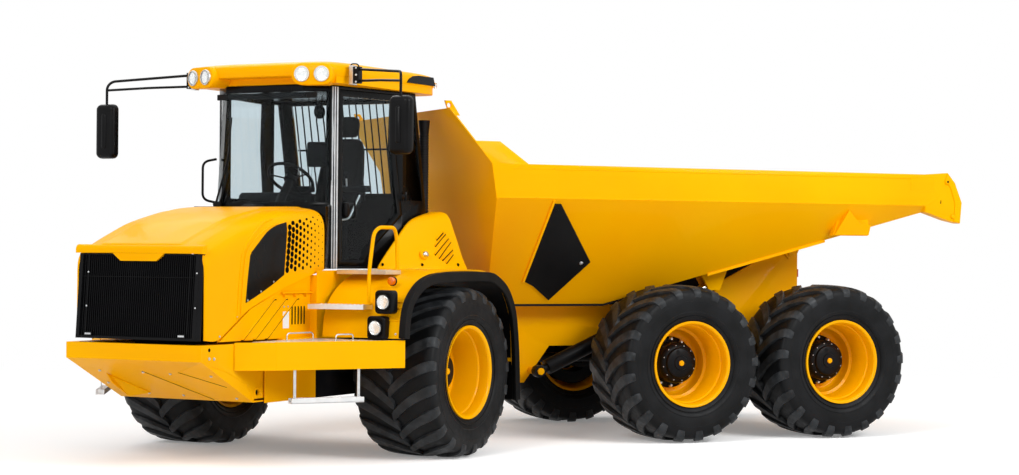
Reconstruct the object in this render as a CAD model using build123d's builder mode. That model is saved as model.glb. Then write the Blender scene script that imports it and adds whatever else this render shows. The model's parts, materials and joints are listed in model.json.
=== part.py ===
import os
from math import atan2, cos, pi, radians, sin

from build123d import *

os.makedirs("parts", exist_ok=True)

# Six-wheel articulated dump truck.  Lengths are millimetres and angles degrees.
# +X is the truck's left, -Y its front and +Z up.  While the pieces are made, the steering hinge
# stands at X = Y = 0
# and both units are straight; the front unit is then turned by steer_angle and all is centred on the floor.

# ---- driving sizes ----
steer_angle = 37.6
steer_reach = 40
front_axle_y = -1500
mid_axle_y = 2355
bogie_spacing = 1670
track_half = 1249
tyre_radius = 748
tyre_width = 800
bead_radius = 387
flange_radius = 412
rim_width = 744
seat_gap = 0.5
moving_gap = 6
pin_gap = 1
plate = 25

rear_axle_y = mid_axle_y + bogie_spacing
axle_z = tyre_radius
axle_tube_radius = 110
axle_arm_radius = 150
axle_arm_x = 700
hub_depth = 600
hub_bore = 60
rim_face_x = track_half + rim_width / 2
hub_back_x = rim_face_x - hub_depth

# ---- steering hinge ----
hitch_z = 900
hitch_half_height = 200
hitch_half_width = 170
hitch_shaft_radius = 155
hitch_tube_wall = 35
hitch_tube_y = (330, 800)
hinge_pin_radius = 45
steer_eye_front = (300, -950)
steer_eye_rear = (360, 100)
steer_barrel_radius = 48
steer_rod_radius = 26
steer_eye_radius = 46
steer_eye_height = 60
steer_pin_radius = 27

# ---- rear frame ----
frame_half = 470
frame_bottom = 885
body_gap = 15

# ---- dump body ----
floor_z = 1300
floor_half = 740
rail_half = 1420
rail_bottom = 2290
rail_top = 2610
headboard_top = 3110
headboard_half = 1300
ramp_y = 1850
tail_y = 5300
tail_floor_half = 1360
tail_floor_z = rail_bottom - 20
body_wall = 14
rail_cap = 90
tip_pin_y = 4140
tip_pin_z = 1810
tip_pin_radius = 42

# ---- tipping cylinders ----
tip_cylinder_x = 662
tip_base = (1200, 650)
tip_head = (3100, 1490)
tip_barrel_radius = 74
tip_rod_radius = 42
tip_eye_radius = 60
tip_eye_width = 86
tip_base_pin_radius = 33
tip_barrel_length = 1460

# ---- front unit ----
front_frame_half = 455
front_frame_top = 1150
front_frame_bottom = 760
bumper_y = -4140
bumper_half = 670
bumper_bottom = 915
bumper_lip = 15
bumper_rear_y = -3080
belly_break_y = -3420
belly_rear_y = -2700
belly_z = 560
front_eye = (-3367, 640)
front_eye_radius = 26
deck_z = 1060
skirt_front = (930, -3490)
skirt_rear = (1570, -2520)
skirt_bottom = 830
step_bottom = 575
step_inner_x = 690
mid_tread_z = (1310, 1350)
top_tread_z = (1600, 1636)
lamp_wall_y = -2620
hood_front_y = -4040
hood_rear_y = -2405
hood_half = 645
hood_rear_half = 700
hood_lip_z = 1770
hood_rear_z = 2180
hood_wall = 12
hood_latch_x = 463
arch_outer_x = 1600
arch_inner_x = 780

# ---- cab ----
cab_half = 740
cab_turn_y = -1200
cab_pillar = (585, -2160)
cab_corner = (500, -2330)
cab_front = (400, -2410)
cab_rear_y = -760
cab_floor_z = 1640
cab_sill_z = 2180
cab_top_z = 3235
cab_lean = 90
cab_rear_lean = 210
cab_wall = 48
cowl_front = (690, -2385)
window_top_gap = 60
roof_edge = 165
roof_crown = 210
roof_half = 790
roof_lamp_z = cab_top_z + 75
roof_pod_radius = 95
roof_lamp_radius = 56
roof_lamps = [(497, -2470), (665, -2420)]
glass = 8
glass_gap = 2
door_gap = 6
door_frame = 52
door_bottom = 1668
door_top = cab_top_z - 35
door_hinge = (cab_half + 26, -1168)
door_hinge_radius = 13


def block(x, y, z, mode=Mode.ADD):
    # a box between the low and high value on each axis
    with Locations(((x[0] + x[1]) / 2, (y[0] + y[1]) / 2, (z[0] + z[1]) / 2)):
        Box(x[1] - x[0], y[1] - y[0], z[1] - z[0], mode=mode)


def prism(plane, points, thickness, mode=Mode.ADD):
    # a closed outline on a plane, drawn out along the plane's normal
    with BuildSketch(plane, mode=Mode.PRIVATE) as outline:
        with BuildLine():
            Polyline(*points, close=True)
        make_face()
    extrude(outline.sketch, amount=thickness, mode=mode)


def side_plate(points, x, mode=Mode.ADD):
    # an outline of (y, z) points between two x values
    prism(Plane.YZ.offset(x[0]), points, x[1] - x[0], mode)


def flat_plate(points, z, mode=Mode.ADD):
    # an outline of (x, y) points between two heights
    prism(Plane.XY.offset(z[0]), points, z[1] - z[0], mode)


def bar(start, end, radius, mode=Mode.ADD):
    # a round bar from one point to another
    run = Vector(*end) - Vector(*start)
    with BuildSketch(Plane(origin=start, z_dir=run), mode=Mode.PRIVATE) as section:
        Circle(radius)
    extrude(section.sketch, amount=run.length, mode=mode)


def rail_loop(points, radius):
    # a bent tube through the points, with a ball at each corner
    for start, end in zip(points, points[1:]):
        bar(start, end, radius)
    for corner in points[1:-1]:
        with Locations(corner):
            Sphere(radius)


def ruled(sections):
    # a solid with straight faces through closed outlines of (x, z) points at stations along y
    with BuildPart(mode=Mode.PRIVATE) as run:
        for y, points in sections:
            with BuildSketch(Plane.XZ.offset(-y)):
                with BuildLine():
                    Polyline(*points, close=True)
                make_face()
        loft(ruled=True)
    add(run.part)


# ---- wheels ----
# columns: name, side (+1 left), axle y
wheel_places = [
    ("front_left", 1, front_axle_y),
    ("front_right", -1, front_axle_y),
    ("mid_left", 1, mid_axle_y),
    ("mid_right", -1, mid_axle_y),
    ("rear_left", 1, rear_axle_y),
    ("rear_right", -1, rear_axle_y),
]


def wheel_plane(side, y):
    # local x runs outwards along the axle, local y up
    return Plane(origin=(side * track_half, y, axle_z), x_dir=(side, 0, 0), z_dir=(0, -side, 0))


def spun(points, side, y):
    # an outline of (outward distance, radius) points, turned about the axle
    with BuildSketch(wheel_plane(side, y), mode=Mode.PRIVATE) as outline:
        with BuildLine():
            Polyline(*points, close=True)
        make_face()
    revolve(outline.sketch, axis=Axis((0, y, axle_z), (1, 0, 0)))


tyre_flats = 18
tyre_step = 2 * pi / tyre_flats
lug_height = 30
lug_width = 44
lug_root = 46
lug_sink = 30
lug_inner_x = -15
lug_outer_x = 360
lug_turn = radians(13)
lug_run = tyre_radius * sin(lug_turn / 2)
lug_length = ((lug_outer_x - lug_inner_x) ** 2 + 4 * lug_run**2) ** 0.5
lug_corner_y = lug_run + lug_width / 2 * (lug_outer_x - lug_inner_x) / lug_length
lug_top_z = (tyre_radius**2 - lug_corner_y**2) ** 0.5
tread_z = tyre_radius - lug_height - 10


def flat_sided_ring(section, flats):
    # a closed outline of (x, distance of the flats from the axle), carried round the axle in flats
    half = pi / flats
    rings = [
        [Vector(x, corner * sin(2 * half * k), corner * cos(2 * half * k)) for k in range(flats)]
        for x, corner in ((x, flat / cos(half)) for x, flat in section)
    ]
    sides = []
    for near, far in zip(rings, rings[1:] + rings[:1]):
        for k in range(flats):
            corners = [near[k], near[(k + 1) % flats], far[(k + 1) % flats], far[k]]
            sides.append(Face(Wire.make_polygon(corners)))
    return Solid(Shell(sides))


def lug(side, angle):
    # a straight bar from the middle of the tread out to the shoulder, the middle end leading
    outwards = Vector(0, sin(angle), cos(angle))
    along = Vector(0, cos(angle), -sin(angle))
    start = outwards * lug_top_z - along * lug_run + Vector(side * lug_inner_x)
    end = outwards * lug_top_z + along * lug_run + Vector(side * lug_outer_x)
    depth = lug_height + lug_sink
    section = [
        (0, -lug_width / 2),
        (0, lug_width / 2),
        (-depth, lug_root / 2),
        (-depth, -lug_root / 2),
    ]
    prism(Plane(origin=start, x_dir=outwards, z_dir=end - start), section, lug_length)


tyre_section = [
    (tyre_width / 2 - 68, bead_radius + seat_gap),
    (tyre_width / 2, bead_radius + 190),
    (tyre_width / 2 - 30, tread_z),
    (-tyre_width / 2 + 30, tread_z),
    (-tyre_width / 2, bead_radius + 190),
    (-tyre_width / 2 + 68, bead_radius + seat_gap),
]
with BuildPart() as lugged_tyre:
    add(flat_sided_ring(tyre_section, tyre_flats))
    for number in range(tyre_flats):
        lug(1, number * tyre_step)
        lug(-1, (number + 0.5) * tyre_step)
# turned so that the corner of a lug stands on the ground
tyre_turn = atan2(lug_corner_y, lug_top_z) * 180 / pi


def rim_points():
    face = rim_width / 2
    disc = face - 470
    return [
        (face, flange_radius),
        (face - 20, flange_radius),
        (face - 21, bead_radius),
        (-face + 21, bead_radius),
        (-face + 20, flange_radius),
        (-face, flange_radius),
        (-face, bead_radius - 18),
        (disc - 60, 345),
        (disc - 20, 290),
        (disc - 20, 172),
        (face - hub_depth, 172),
        (face - hub_depth, hub_bore),
        (face - 232, hub_bore),
        (face - 232, 130),
        (face - 270, 195),
        (disc, 195),
        (disc, 300),
        (disc + 90, 312),
        (disc + 120, 345),
        (face - 110, 355),
        (face - 100, bead_radius - 18),
        (face - 22, bead_radius - 14),
        (face, flange_radius - 14),
    ]


tyres = {}
wheels = {}
for name, side, y in wheel_places:
    with BuildPart() as tyre:
        add(Pos(side * track_half, y, axle_z) * Rot(tyre_turn, 0, 0) * lugged_tyre.part)
    tyres[name] = tyre
    with BuildPart() as wheel:
        spun(rim_points(), side, y)
        bar(
            (side * (rim_face_x - hub_depth), y, axle_z),
            (side * (rim_face_x - 232), y, axle_z),
            hub_bore,
        )
    wheels[name] = wheel


def axle_housing(y):
    # a tube with a final drive bulb and a stepped arm at each end
    bar((-axle_arm_x, y, axle_z), (axle_arm_x, y, axle_z), axle_tube_radius)
    for side in (-1, 1):
        bar(
            (side * axle_arm_x, y, axle_z),
            (side * (hub_back_x - moving_gap), y, axle_z),
            axle_arm_radius,
        )
    for half, radius in ((210, 170), (130, 235)):
        bar((-half, y, axle_z), (half, y, axle_z), radius)


with BuildPart() as front_axle:
    axle_housing(front_axle_y)

shaft_radius = 48
with BuildPart() as rear_axles:
    axle_housing(mid_axle_y)
    axle_housing(rear_axle_y)
    bar((0, mid_axle_y, axle_z), (0, rear_axle_y, axle_z), shaft_radius)
    bar((0, hitch_tube_y[1] + 120, axle_z), (0, mid_axle_y, axle_z), shaft_radius)

# ---- bogie beams ----
bogie_x = (575, 690)
bogie_pivot_y = mid_axle_y + bogie_spacing / 2
bogie_pivot_z = 800
bogie_pin_radius = 60
with BuildPart() as bogie_beams:
    side_plate(
        [
            (mid_axle_y - 190, 640),
            (mid_axle_y - 190, 860),
            (bogie_pivot_y - 200, 930),
            (bogie_pivot_y + 200, 930),
            (rear_axle_y + 190, 860),
            (rear_axle_y + 190, 640),
            (bogie_pivot_y, 690),
        ],
        bogie_x,
    )
    for y in (mid_axle_y, rear_axle_y):
        bar((0, y, axle_z), (axle_arm_x, y, axle_z), axle_tube_radius + seat_gap, Mode.SUBTRACT)
    bar(
        (0, bogie_pivot_y, bogie_pivot_z),
        (axle_arm_x, bogie_pivot_y, bogie_pivot_z),
        bogie_pin_radius + seat_gap,
        Mode.SUBTRACT,
    )
    mirror(about=Plane.YZ)

# ---- rear frame ----
frame_top = floor_z - body_gap
frame_outline = [
    (430, 640),
    (980, 530),
    (1130, 530),
    (1400, frame_bottom),
    (bogie_pivot_y - 240, frame_bottom),
    (bogie_pivot_y - 110, bogie_pivot_z - 90),
    (bogie_pivot_y + 110, bogie_pivot_z - 90),
    (bogie_pivot_y + 240, frame_bottom),
    (rear_axle_y + 220, frame_bottom),
    (tip_pin_y + 90, tip_pin_z - 330),
    (tip_pin_y + 90, tip_pin_z + 40),
    (tip_pin_y - 60, tip_pin_z + 70),
    (tip_pin_y - 840, 1500),
    (tip_pin_y - 940, frame_top),
    (430, frame_top),
]
# columns: low y, high y, low z, high z of each box across the frame
cross_members = [
    (560, 720, 1110, frame_top),
    (560, 720, 640, 700),
    (1420, 1580, 1000, frame_top),
    (2900, 3060, 1020, frame_top),
    (3960, 4080, 1000, 1300),
]
tip_lug_x = (frame_half + moving_gap, frame_half + moving_gap + plate)
tip_base_fork_x = tip_cylinder_x - tip_eye_width / 2 - moving_gap
with BuildPart() as rear_frame:
    side_plate(frame_outline, (frame_half - plate, frame_half))
    bar(
        (frame_half - plate, tip_pin_y, tip_pin_z),
        (tip_lug_x[1] + 12, tip_pin_y, tip_pin_z),
        tip_pin_radius,
    )
    bar(
        (frame_half - plate, bogie_pivot_y, bogie_pivot_z),
        (bogie_x[1] + 15, bogie_pivot_y, bogie_pivot_z),
        bogie_pin_radius,
    )
    # pin for the foot of each tipping cylinder
    bar(
        (frame_half - plate, *tip_base),
        (tip_cylinder_x + tip_eye_width / 2 + 14, *tip_base),
        tip_base_pin_radius,
    )
    mirror(about=Plane.YZ)
    for low_y, high_y, low_z, high_z in cross_members:
        block((-frame_half + 5, frame_half - 5), (low_y, high_y), (low_z, high_z))
    bar((-frame_half, tip_pin_y, tip_pin_z), (frame_half, tip_pin_y, tip_pin_z), 66)
    # bearing tube of the hitch
    bar((0, hitch_tube_y[0], hitch_z), (0, hitch_tube_y[1], hitch_z), hitch_shaft_radius + hitch_tube_wall)
    hitch_wall = (hitch_tube_y[0] + 120, hitch_tube_y[0] + 150)
    block((-frame_half + 5, frame_half - 5), hitch_wall, (640, frame_top))
    block((-frame_half + 5, frame_half - 5), (hitch_tube_y[1] - 60, hitch_tube_y[1] - 30), (640, frame_top))
    bar(
        (0, hitch_tube_y[0] - 1, hitch_z),
        (0, hitch_tube_y[1] + 1, hitch_z),
        hitch_shaft_radius + pin_gap,
        Mode.SUBTRACT,
    )

# ---- hitch between the two units ----
with BuildPart() as hitch_link:
    hitch_low = hitch_z - hitch_half_height
    hitch_high = hitch_z + hitch_half_height
    bar((0, 0, hitch_low), (0, 0, hitch_high), hitch_half_width)
    block((-hitch_half_width, hitch_half_width), (0, 200), (hitch_low + 20, hitch_high - 20))
    bar((0, 190, hitch_z), (0, hitch_tube_y[1] + 14, hitch_z), hitch_shaft_radius)
    bar(
        (0, hitch_tube_y[1] + moving_gap, hitch_z),
        (0, hitch_tube_y[1] + moving_gap + 30, hitch_z),
        hitch_shaft_radius + hitch_tube_wall,
    )
    for side in (-1, 1):
        for level in (-1, 1):
            fork_z = hitch_z + level * (steer_eye_height / 2 + moving_gap)
            flat_plate(
                [
                    (side * 120, 190),
                    (side * 120, 20),
                    (side * (steer_eye_rear[0] - 20), steer_eye_rear[1] - 70),
                    (side * (steer_eye_rear[0] + 70), steer_eye_rear[1] - 50),
                    (side * (steer_eye_rear[0] + 70), steer_eye_rear[1] + 60),
                    (side * 200, 190),
                ],
                (min(fork_z, fork_z + level * 30), max(fork_z, fork_z + level * 30)),
            )
    bar((0, 0, hitch_low - 1), (0, 0, hitch_high + 1), hinge_pin_radius + pin_gap, Mode.SUBTRACT)


# ---- cylinders ----
def turned(x, y, angle):
    # a point of the front unit, turned about the hinge
    return (
        x * cos(radians(angle)) - y * sin(radians(angle)),
        x * sin(radians(angle)) + y * cos(radians(angle)),
    )


def cylinder_barrel(foot, head, normal, eye_radius, eye_width, radius, length, bore):
    # foot and head are the eye centres, normal the direction of the pins
    run = (Vector(*head) - Vector(*foot)).normalized()
    across = Vector(*normal) * (eye_width / 2)
    start = Vector(*foot)
    neck = eye_radius + 30
    bar(tuple(start - across), tuple(start + across), eye_radius)
    bar(tuple(start), tuple(start + run * (neck + 1)), min(radius, eye_width / 2))
    bar(tuple(start + run * neck), tuple(start + run * length), radius)
    bar(tuple(start - across * 2), tuple(start + across * 2), bore, Mode.SUBTRACT)
    bar(tuple(start + run * (neck + 20)), tuple(start + run * (length + 1)), radius - 12, Mode.SUBTRACT)


def cylinder_rod(foot, head, normal, eye_radius, eye_width, radius, length):
    run = (Vector(*head) - Vector(*foot)).normalized()
    across = Vector(*normal) * (eye_width / 2)
    end = Vector(*head)
    bar(tuple(end - across), tuple(end + across), eye_radius)
    bar(tuple(end - run * length), tuple(end), radius)


steer_barrel_length = 560
steer_rod_length = 520
steer_barrels = {}
steer_rods = {}
for name, side in (("left", 1), ("right", -1)):
    foot = (*turned(side * steer_eye_front[0], steer_eye_front[1], steer_angle), hitch_z)
    head = (side * steer_eye_rear[0], steer_eye_rear[1], hitch_z)
    with BuildPart() as barrel:
        cylinder_barrel(
            foot, head, (0, 0, 1), steer_eye_radius, steer_eye_height,
            steer_barrel_radius, steer_barrel_length, steer_pin_radius + pin_gap,
        )
    steer_barrels[name] = barrel
    with BuildPart() as rod:
        cylinder_rod(
            foot, head, (0, 0, 1), steer_eye_radius, steer_eye_height, steer_rod_radius, steer_rod_length
        )
    steer_rods[name] = rod

tip_barrels = {}
tip_rods = {}
tip_rod_length = 1560
for name, side in (("left", 1), ("right", -1)):
    foot = (side * tip_cylinder_x, *tip_base)
    head = (side * tip_cylinder_x, *tip_head)
    with BuildPart() as barrel:
        cylinder_barrel(
            foot, head, (1, 0, 0), tip_eye_radius, tip_eye_width,
            tip_barrel_radius, tip_barrel_length, tip_base_pin_radius + pin_gap,
        )
    tip_barrels[name] = barrel
    with BuildPart() as rod:
        cylinder_rod(foot, head, (1, 0, 0), tip_eye_radius, tip_eye_width, tip_rod_radius, tip_rod_length)
    tip_rods[name] = rod


# ---- dump body ----
def trough(floor, half, top_half, top, wall):
    # a cross-section of the body or, with a wall, of its load space, which runs out above the top
    lift = 200 if wall else 0
    points = [
        (half - wall, floor + wall),
        (rail_half - wall, rail_bottom),
        (rail_half - wall, rail_top),
    ]
    if top + lift > rail_top:
        points.append((top_half - wall, top + lift))
    return points + [(-x, z) for x, z in reversed(points)]


# columns: y and z of the body's front and top, seen from its side
lower_front = (540, 1610)
floor_front = (850, floor_z)
front_break = (400, rail_bottom - 10)
front_rail = (350, rail_top)
headboard_y = -30
wing_top_y = 60
wing_foot_y = 720


ear_eye = (headboard_y + 42, headboard_top + 32)


def body_shape(wall):
    front = [
        (y, trough(floor_z, floor_half, headboard_half, headboard_top, wall)) for y in (-400, ramp_y)
    ]
    end = tail_y + (400 if wall else 0)
    share = (end - ramp_y) / (tail_y - ramp_y)
    end_z = floor_z + (tail_floor_z - floor_z) * share
    end_half = floor_half + (tail_floor_half - floor_half) * share
    rear = [
        (ramp_y, trough(floor_z, floor_half, rail_half, rail_top, wall)),
        (end, trough(end_z, min(end_half, rail_half - 5), rail_half, rail_top, wall)),
    ]
    ruled(front)
    ruled(rear)
    if wall:
        outline = [
            (floor_front[0] + wall, floor_z),
            (lower_front[0] + wall, lower_front[1]),
            (front_break[0] + wall, front_break[1]),
            (front_rail[0] + wall, front_rail[1]),
            (headboard_y + wall, headboard_top),
            (headboard_y + wall - 110, headboard_top + 200),
            (tail_y + 600, headboard_top + 200),
            (tail_y + 600, floor_z),
        ]
    else:
        outline = [
            floor_front,
            lower_front,
            front_break,
            front_rail,
            (headboard_y, headboard_top),
            (wing_top_y, headboard_top),
            (wing_foot_y, rail_top),
            (tail_y, rail_top),
            (tail_y, floor_z),
        ]
    side_plate(outline, (-2000, 2000), Mode.INTERSECT)


with BuildPart() as load_space:
    body_shape(body_wall)

tip_head_fork_x = (
    tip_cylinder_x - tip_eye_width / 2 - moving_gap - plate,
    tip_cylinder_x - tip_eye_width / 2 - moving_gap,
)


def ramp_height(y):
    return floor_z + (tail_floor_z - floor_z) * (y - ramp_y) / (tail_y - ramp_y)


with BuildPart() as dump_body:
    body_shape(0)
    add(load_space.part, mode=Mode.SUBTRACT)
    # rolled top of each side, tail plate, stiffener, hinge lug and cylinder lug
    block((rail_half - rail_cap, rail_half - 1), (wing_foot_y, tail_y), (rail_top - 50, rail_top))
    side_plate(
        [
            (tail_y - 160, rail_top),
            (tail_y + 110, rail_top + 20),
            (tail_y + 200, rail_top - 80),
            (tail_y + 285, rail_top - 280),
            (tail_y + 265, rail_top - 490),
            (tail_y + 110, rail_top - 460),
            (tail_y - 160, rail_bottom - 60),
        ],
        (rail_half - 110, rail_half),
    )
    side_plate(
        [
            (4120, 1985),
            (4230, rail_bottom + 5),
            (4540, rail_bottom + 5),
            (4530, 1985),
        ],
        (tail_floor_half - 130, tail_floor_half - 60),
    )
    side_plate(
        [
            (tip_pin_y - 170, ramp_height(tip_pin_y - 170) + 5),
            (tip_pin_y - 60, tip_pin_z - 30),
            (tip_pin_y - 30, tip_pin_z - 62),
            (tip_pin_y + 30, tip_pin_z - 62),
            (tip_pin_y + 60, tip_pin_z - 30),
            (tip_pin_y + 170, ramp_height(tip_pin_y + 170) + 5),
        ],
        tip_lug_x,
    )
    tip_bore = tip_pin_radius + pin_gap
    bar((0, tip_pin_y, tip_pin_z), (tip_lug_x[1] + 1, tip_pin_y, tip_pin_z), tip_bore, Mode.SUBTRACT)
    side_plate(
        [
            (tip_head[0] - 170, ramp_height(tip_head[0] - 170) + 5),
            (tip_head[0] - 60, tip_head[1] - 60),
            (tip_head[0] + 60, tip_head[1] - 60),
            (tip_head[0] + 170, ramp_height(tip_head[0] + 170) + 5),
        ],
        tip_head_fork_x,
    )
    side_plate(
        [
            (tip_head[0] - 170, ramp_height(tip_head[0] - 170) + 5),
            (tip_head[0] - 60, tip_head[1] - 60),
            (tip_head[0] + 60, tip_head[1] - 60),
            (tip_head[0] + 170, ramp_height(tip_head[0] + 170) + 5),
        ],
        (2 * tip_cylinder_x - tip_head_fork_x[1], 2 * tip_cylinder_x - tip_head_fork_x[0]),
    )
    # lifting ear at the top of the headboard
    side_plate(
        [
            (headboard_y + 52, headboard_top - 60),
            (headboard_y + 2, headboard_top + 75),
            (headboard_y + 62, headboard_top + 75),
            (headboard_y + 150, headboard_top - 60),
        ],
        (headboard_half - 130, headboard_half - 100),
    )
    bar(
        (headboard_half - 140, ear_eye[0], ear_eye[1]),
        (headboard_half - 90, ear_eye[0], ear_eye[1]),
        22,
        Mode.SUBTRACT,
    )
    mirror(about=Plane.YZ)

# ---- rubber flaps on the body sides ----
flap_thickness = 12
flap_offset = 4
flap_slope = atan2(rail_half - floor_half, rail_bottom - floor_z)
with BuildPart() as body_flaps:
    flap_plane = Plane(
        origin=(rail_half + flap_offset, 0, rail_bottom),
        x_dir=(0, 1, 0),
        z_dir=(cos(flap_slope), 0, -sin(flap_slope)),
    )
    reach = 1 / cos(flap_slope)
    prism(
        flap_plane,
        [
            (1000, -40 * reach),
            (1065, -40 * reach),
            (1560, -580 * reach),
            (1240, -950 * reach),
            (1035, -815 * reach),
            (930, -770 * reach),
        ],
        flap_thickness,
    )
    mirror(about=Plane.YZ)

# ---- tail lamps on the end of the frame ----
tail_lamp_x = (frame_half - 170, frame_half - 40)
with BuildPart() as tail_lamps:
    block(tail_lamp_x, (tip_pin_y + 91, tip_pin_y + 130), (tip_pin_z - 250, tip_pin_z - 170))
    mirror(about=Plane.YZ)

# ---- front frame ----
with BuildPart() as front_frame:
    side_plate(
        [
            (bumper_y + 130, front_frame_bottom + 130),
            (front_axle_y - 420, front_frame_bottom),
            (front_axle_y - 200, axle_z + axle_tube_radius + 32),
            (front_axle_y + 200, axle_z + axle_tube_radius + 32),
            (front_axle_y + 440, front_frame_bottom),
            (front_axle_y + 480, front_frame_top),
            (bumper_y + 130, front_frame_top - 120),
        ],
        (front_frame_half - plate, front_frame_half),
    )
    mirror(about=Plane.YZ)
    # columns: low y, high y, low z, high z of each box across the frame
    for low_y, high_y, low_z, high_z in (
        (bumper_y + 150, bumper_y + 230, 880, 1010),
        (front_axle_y - 620, front_axle_y - 520, 780, 840),
        (front_axle_y + 390, front_axle_y + 430, 700, front_frame_top),
    ):
        block((-front_frame_half + 5, front_frame_half - 5), (low_y, high_y), (low_z, high_z))
    for level in (-1, 1):
        face = hitch_z + level * (hitch_half_height + moving_gap)
        fork = (min(face, face + level * 44), max(face, face + level * 44))
        flat_plate(
            [
                (-front_frame_half + 5, front_axle_y + 400),
                (-150, 0),
                (-110, 110),
                (110, 110),
                (150, 0),
                (front_frame_half - 5, front_axle_y + 400),
            ],
            fork,
        )
    bar(
        (0, 0, hitch_z - hitch_half_height - moving_gap - 60),
        (0, 0, hitch_z + hitch_half_height + moving_gap + 60),
        hinge_pin_radius,
    )
    # pins for the steering cylinders, held in a pair of lugs
    for side in (-1, 1):
        x, y = side * steer_eye_front[0], steer_eye_front[1]
        for level in (-1, 1):
            low = hitch_z + level * (steer_eye_height / 2 + moving_gap)
            high = low + level * 25
            block((x - 60, x + 60), (y - 125, y + 30), (min(low, high), max(low, high)))
        bar((x, y, hitch_z - 62), (x, y, hitch_z + 62), steer_pin_radius)

# ---- engine and gearbox, plain blocks between the frame plates ----
with BuildPart() as engine_block:
    block((-370, 370), (-3640, -2560), (930, 1560))
    block((-300, 300), (-2420, -1860), (850, 1300))

# ---- bumper, belly guard and front eyes ----
bumper_plate = 14
eye_plate_x = bumper_half - bumper_plate / 2
# outline of each side: y, height
bumper_side = [
    (bumper_y, deck_z - bumper_lip),
    (bumper_y, bumper_bottom),
    (bumper_y + 323, bumper_bottom - 86),
    (bumper_y + 621, bumper_bottom - 199),
    (bumper_y + 717, bumper_bottom - 326),
    (bumper_rear_y, bumper_bottom - 326),
    (bumper_rear_y, deck_z - bumper_lip),
]
with BuildPart() as bumper:
    for side in (-1, 1):
        x = side * eye_plate_x
        half = bumper_plate / 2
        side_plate(bumper_side, (x - half, x + half))
        bar((x - 30, *front_eye), (x + 30, *front_eye), front_eye_radius, Mode.SUBTRACT)
        # shelf between the side and the frame
        low, high = sorted((side * (bumper_half - 1), side * (front_frame_half + moving_gap)))
        block((low, high), (bumper_y + 1, bumper_rear_y), (deck_z - bumper_lip - 14, deck_z - bumper_lip))
    block(
        (-bumper_half, bumper_half),
        (bumper_y, bumper_y + bumper_plate),
        (bumper_bottom, deck_z - bumper_lip),
    )
    block(
        (-bumper_half + 1, bumper_half - 1),
        (bumper_y + 1, bumper_y + 110),
        (deck_z - bumper_lip - 14, deck_z - bumper_lip),
    )
    # belly guard, sloping down towards the rear
    side_plate(
        [
            (bumper_y + 5, bumper_bottom),
            (belly_break_y, belly_z),
            (belly_rear_y, belly_z),
            (belly_rear_y, belly_z + 10),
            (belly_break_y, belly_z + 12),
            (bumper_y + 5, bumper_bottom + 14),
        ],
        (-bumper_half + 1, bumper_half - 1),
    )

# ---- steps: raked skirt, deck, treads and hanging step ----
skirt_run = Vector(skirt_rear[0] - skirt_front[0], skirt_rear[1] - skirt_front[1])
skirt_length = skirt_run.length
skirt_dir = skirt_run.normalized()


def beside_skirt(distance, inwards):
    # a point at a distance back along the skirt's outer face and so far inside it
    return (
        skirt_front[0] + skirt_dir.X * distance - skirt_dir.Y * inwards,
        skirt_front[1] + skirt_dir.Y * distance + skirt_dir.X * inwards,
    )


def skirt_strip(near, far, outer, inner):
    return [
        beside_skirt(near, outer),
        beside_skirt(far, outer),
        beside_skirt(far, inner),
        beside_skirt(near, inner),
    ]


tread_x = (760, 1248)
# plate beside the engine: y, height; its upper edge follows the lower edge of the hood
engine_plate = [(-3880, 1066), (-3450, 1323), (-3060, 1458), (-2570, 1580), (-2570, 1066)]
engine_plate_x = (650, 664)
with BuildPart() as side_steps:
    flat_plate(skirt_strip(0, skirt_length, 0, 10), (skirt_bottom, deck_z))
    flat_plate(
        [
            (step_inner_x, skirt_front[1]),
            beside_skirt(0, 9),
            beside_skirt(skirt_length, 9),
            (step_inner_x, skirt_rear[1]),
        ],
        (deck_z - 30, deck_z - 8),
    )
    # plate from the skirt's front end to the bumper, and the wall under the deck
    skirt_end = (bumper_half + moving_gap, skirt_front[0] - 1)
    block(skirt_end, (skirt_front[1], skirt_front[1] + 10), (skirt_bottom, deck_z - 8))
    block((step_inner_x - 10, step_inner_x), (bumper_rear_y - 200, skirt_rear[1]), (600, deck_z - 8))
    # plate beside the engine on a flange of the deck
    side_plate(engine_plate, engine_plate_x)
    flange_x = (engine_plate_x[0], step_inner_x + 30)
    block(flange_x, (bumper_rear_y + 20, engine_plate[-1][0]), (deck_z - 30, deck_z + 10))
    # middle and top treads, the top one on two feet
    flat_plate(
        [
            (tread_x[0], -2760),
            (tread_x[1], -2670),
            (tread_x[1], front_axle_y - 1020),
            (tread_x[0], front_axle_y - 1020),
        ],
        mid_tread_z,
    )
    block(tread_x, (-2310, -2060), top_tread_z)
    for x in (tread_x[0] + 40, tread_x[1] - 70):
        block((x, x + 30), (-2250, -2220), (top_tread_z[0] - 55, top_tread_z[0] + 1))
    # hanging step on two straps
    for near in (185, 755):
        flat_plate(skirt_strip(near, near + 24, 60, 80), (step_bottom, skirt_bottom + 60))
        flat_plate(skirt_strip(near, near + 24, 9, 80), (skirt_bottom + 40, skirt_bottom + 60))
    flat_plate(skirt_strip(155, 800, 20, 95), (step_bottom - 20, step_bottom + 25))
    mirror(about=Plane.YZ)

# ---- fixed side panels and fenders ----
# columns: y, height at the cab, width of the flat top, width at the foot
fender_stations = [
    (-780, 2160, 190, 405),
    (-1120, 2080, 40, 340),
    (-1590, 1730, 20, 90),
    (-1670, 1656, 10, 15),
    (-1900, 1656, 10, 15),
]
fender_wall = 10
fender_outer_x = 1540
fender_top_z = 1646


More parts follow.
